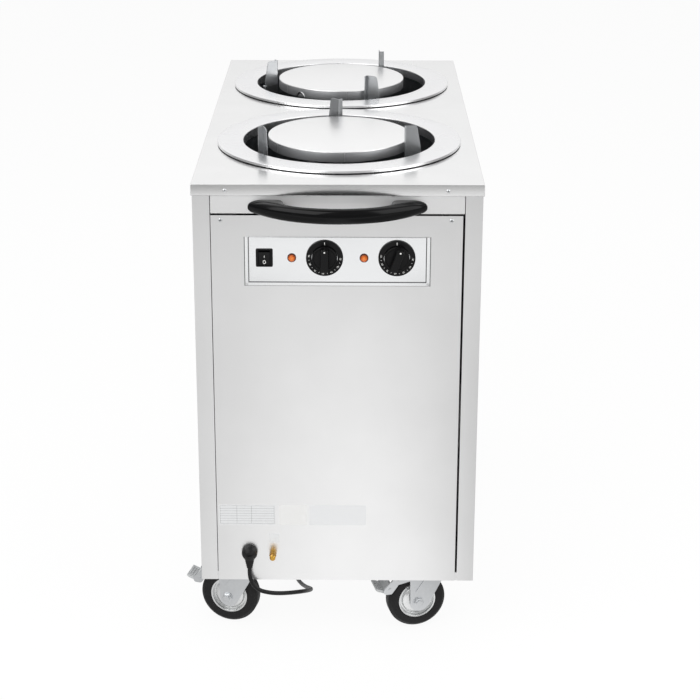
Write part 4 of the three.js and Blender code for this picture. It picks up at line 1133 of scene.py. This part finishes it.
def wheel(corner):
    """A rubber tyre with soft shoulders on a pressed hub: bright rim, dark groove, dished cover."""
    floor_place, trail, height = swivel(corner)
    place = across(floor_place, trail, height)
    half, outer, body = TYRE["width"] / 2, TYRE["radius"], f"wheel_{corner}"
    seat = HUB["radius"] + 0.2
    tyre = rounded([
        (seat, -half + 1.2), (seat + 2.5, -half + 0.2, 0.8),
        (outer - 6, -half, 2), (outer, -half + 5.5, 3.5), (outer, half - 5.5, 3.5), (outer - 6, half, 2),
        (seat + 2.5, half - 0.2, 0.8), (seat, half - 1.2),
    ], 5)
    piece(f"rubber_tyre_{corner}", turned(tyre, 128, closed=True), RUBBER, place, body, [f"tyre_{corner}"])
    lip, cover = half - 0.9, half - 2.6
    bore, hub, rim = 5.3, HUB["cover"], HUB["radius"]
    barrel = FORK["inside"] - 0.3
    side = [
        (bore, barrel), (9.5, barrel, 0.6), (9.5, cover + 1.5, 1.2), (hub - 5, cover + 1.2, 2),
        (hub, cover - 1.5, 1.2), (hub + 1, half / 3, 1), (rim - 3.2, half / 3, 1),
        (rim - 2.6, lip - 0.8, 0.8), (rim, lip, 0.6),
    ]
    mirrored = [(r, -z, *rest) for r, z, *rest in reversed(side)]
    shape = turned(rounded(side + mirrored, 5), 96, closed=True)
    piece(f"pressed_hub_{corner}", shape, BRIGHT_ZINC, place, body, [f"wheel_hub_{corner}"])


def brake_pedal(corner):
    """A moulded foot pad on the fork's rear pin, its outer end round."""
    place, _, _ = swivel(corner)
    x, z = pedal_hinge(corner)
    reach, half = PAD["reach"], PAD["half"]
    outline = rounded([
        (x - 5, z - 2, 1.5), (x, z - 6.5, 3), (x + 8, z - 8, 2), (reach - 3.5, z - 3, 2), (reach, z, 1.5),
        (reach - 1, z + 2.5, 1), (x + 8, z - 3, 3), (x + 5, z + 4, 2), (x - 1, z + 6, 2), (x - 5, z + 4, 2),
    ], 4)
    pad = upright(outline, -half, half)
    ridge = bar(PAD["ridge"], 5 - half, half - 5, 8)
    ridges = [shifted(ridge, x=x + 12 + 4 * k, z=z - 1.4 + 1.6 * k, about_x=90) for k in range(3)]
    made = piece(f"foot_pad_{corner}", together(pad, *ridges), GREY_NYLON, place, f"brake_{corner}",
                 [f"brake_pedal_{corner}"])
    softened(made, 0.9, 3)
    pin_bar = bar(2.5, -half - 4.5, half + 4.5, 24)
    piece(f"pedal_pin_{corner}", pin_bar, ZINC, across(place, x, z), f"swivel_{corner}")


def plate_bolts(corner):
    """Four hexagon bolts through the caster's plate."""
    pin, bolt = joint_place(f"swivel_{corner}_turn"), hexagon(5.5, 0, 4)
    low = top(f"caster_plate_{corner}") - 3
    bolts = [shifted(bolt, x=x, y=y, z=low, about_x=180) for x, y in BOLT_PLACES]
    piece(f"plate_bolts_{corner}", together(*bolts), ZINC, spot(pin.x, pin.y, 0))


for corner in CORNERS:
    dressed(f"caster_plate_{corner}", ZINC, 0.5)
    pressed_fork(corner)
    wheel(corner)
    plate_bolts(corner)
    if f"brake_{corner}_press" in joints:
        brake_pedal(corner)

# ---------------- studio

WHITE = 1.0
FLOOR = {"front": -2.6, "back": 10.0, "side": 6.0}  # metres, where the pale paper ends
STUDIO = {
    "world": 0.62, "behind_camera": 0.48, "flags": 0.35,
    "paper_left": 0.6, "paper_right": 0.46, "paper": 0.92,
}
SOFTBOXES = {  # where it stands, what it is aimed at and its two sides in metres, and its watts
    "key_softbox": ((-1.8, -2.2, 2.6), (0, 0, 0.5), (3.0, 3.0), 60),
    "fill_softbox": ((2.4, -1.6, 1.8), (0, 0, 0.5), (2.4, 2.6), 34),
    "top_softbox": ((0, 0.6, 3.2), (0, 0, 0.8), (3.2, 3.2), 26),
}

# where the levels above change: the first two by the direction looked at, the others in metres
BEHIND_CAMERA, FLAGS = (-0.85, -0.2), (0.6, 0.9)
PAPER_LEFT, PAPER_RIGHT, PAPER_NEAR = (-0.36, 0.02), (0.12, 0.36), (-2.3, -2.0)

# how bright the studio is to what mirrors it, by the sine of the height looked at: greyer low down,
# white above that, grey towards the ceiling, and dark behind the softbox overhead
SKY = ((0.17, 0.76), (0.25, WHITE), (0.4, WHITE), (0.6, 0.74), (0.85, 0.74), (0.95, 0.05))


def seen_or_mirrored(tree):
    """One where a ray comes from the camera, from a mirror or through glass, and zero elsewhere."""
    path = add(tree, "ShaderNodeLightPath")
    seen = combined(tree, "MAXIMUM", (path, "Is Camera Ray"), (path, "Is Glossy Ray"))
    return combined(tree, "MAXIMUM", seen, (path, "Is Transmission Ray"))


def whole_to_camera(tree, level):
    """The level, and full brightness to the camera itself."""
    path = add(tree, "ShaderNodeLightPath")
    return combined(tree, "MAXIMUM", level, (path, "Is Camera Ray"))


def studio_world():
    """A white studio. To what mirrors it, it is dark where the photographer stands and at its two
    sides, where black flags outline the cart, and its level changes with height as in SKY. What
    lights the cart is dimmer than what is seen."""
    world = bpy.data.worlds.new("studio")
    world.use_nodes = True
    tree = world.node_tree
    background = tree.nodes["Background"]
    background.inputs["Color"].default_value = linear("ffffff")
    towards = add(tree, "ShaderNodeTexCoord")
    axes = add(tree, "ShaderNodeSeparateXYZ", {"Vector": (towards, "Generated")})
    aside = add(tree, "ShaderNodeMath", {0: (axes, "X")}, operation="ABSOLUTE")
    front = between(tree, (axes, "Y"), *BEHIND_CAMERA, STUDIO["behind_camera"], WHITE)
    sides = between(tree, aside, *FLAGS, WHITE, STUDIO["flags"])
    mirrored = combined(tree, "MULTIPLY", front, sides)
    mirrored = combined(tree, "MULTIPLY", mirrored, shades(tree, (axes, "Z"), SKY))
    whole = whole_to_camera(tree, mirrored)
    level = add(tree, "ShaderNodeMapRange", {"Value": seen_or_mirrored(tree), "To Max": whole})
    level.inputs["To Min"].default_value = STUDIO["world"]
    tree.links.new(level.outputs[0], background.inputs["Strength"])
    bpy.context.scene.world = world


def pool_of_light(tree):
    """How bright the paper is to what mirrors it: full in the middle and near the camera, and greyer
    to either side."""
    place = add(tree, "ShaderNodeTexCoord")
    axes = add(tree, "ShaderNodeSeparateXYZ", {"Vector": (place, "Object")})
    left = between(tree, (axes, "X"), *PAPER_LEFT, STUDIO["paper_left"], WHITE)
    right = between(tree, (axes, "X"), *PAPER_RIGHT, WHITE, STUDIO["paper_right"])
    near = between(tree, (axes, "Y"), *PAPER_NEAR, WHITE, 0)
    pool = combined(tree, "MAXIMUM", combined(tree, "MULTIPLY", left, right), near)
    return whole_to_camera(tree, pool)


def floor():
    """Pale paper that reads white to the camera and to metal, and keeps the cart's shadow."""
    made = bpy.data.materials.new("white studio paper")
    made.use_nodes = True
    tree = made.node_tree
    tree.nodes.remove(tree.nodes["Principled BSDF"])
    diffuse = add(tree, "ShaderNodeBsdfDiffuse")
    diffuse.inputs["Color"].default_value = linear("f6f6f5")
    glow = add(tree, "ShaderNodeEmission", {"Strength": pool_of_light(tree)})
    share = combined(tree, "MULTIPLY", seen_or_mirrored(tree), STUDIO["paper"])
    mixed = add(tree, "ShaderNodeMixShader", {0: share, 1: diffuse, 2: glow})
    tree.links.new(mixed.outputs[0], tree.nodes["Material Output"].inputs["Surface"])
    mesh = bpy.data.meshes.new("studio_floor")
    side, front, back = FLOOR["side"], FLOOR["front"] + FRONT.y, FLOOR["back"]
    corners = [(-side, front, 0), (side, front, 0), (side, back, 0), (-side, back, 0)]
    mesh.from_pydata(corners, [], [(0, 1, 2, 3)])
    mesh.materials.append(made)
    sheet = placed("studio_floor", mesh)


def softbox(name, place, aim, size, power):
    data = bpy.data.lights.new(name, "AREA")
    data.shape, data.size, data.size_y, data.energy = "RECTANGLE", size[0], size[1], power
    lamp = placed(name, data)
    lamp.location = place
    lamp.rotation_euler = (Vector(aim) - Vector(place)).to_track_quat("-Z", "Y").to_euler()


studio_world()
floor()
for name, setting in SOFTBOXES.items():
    softbox(name, *setting)
bpy.context.scene.view_settings.view_transform = "Standard"
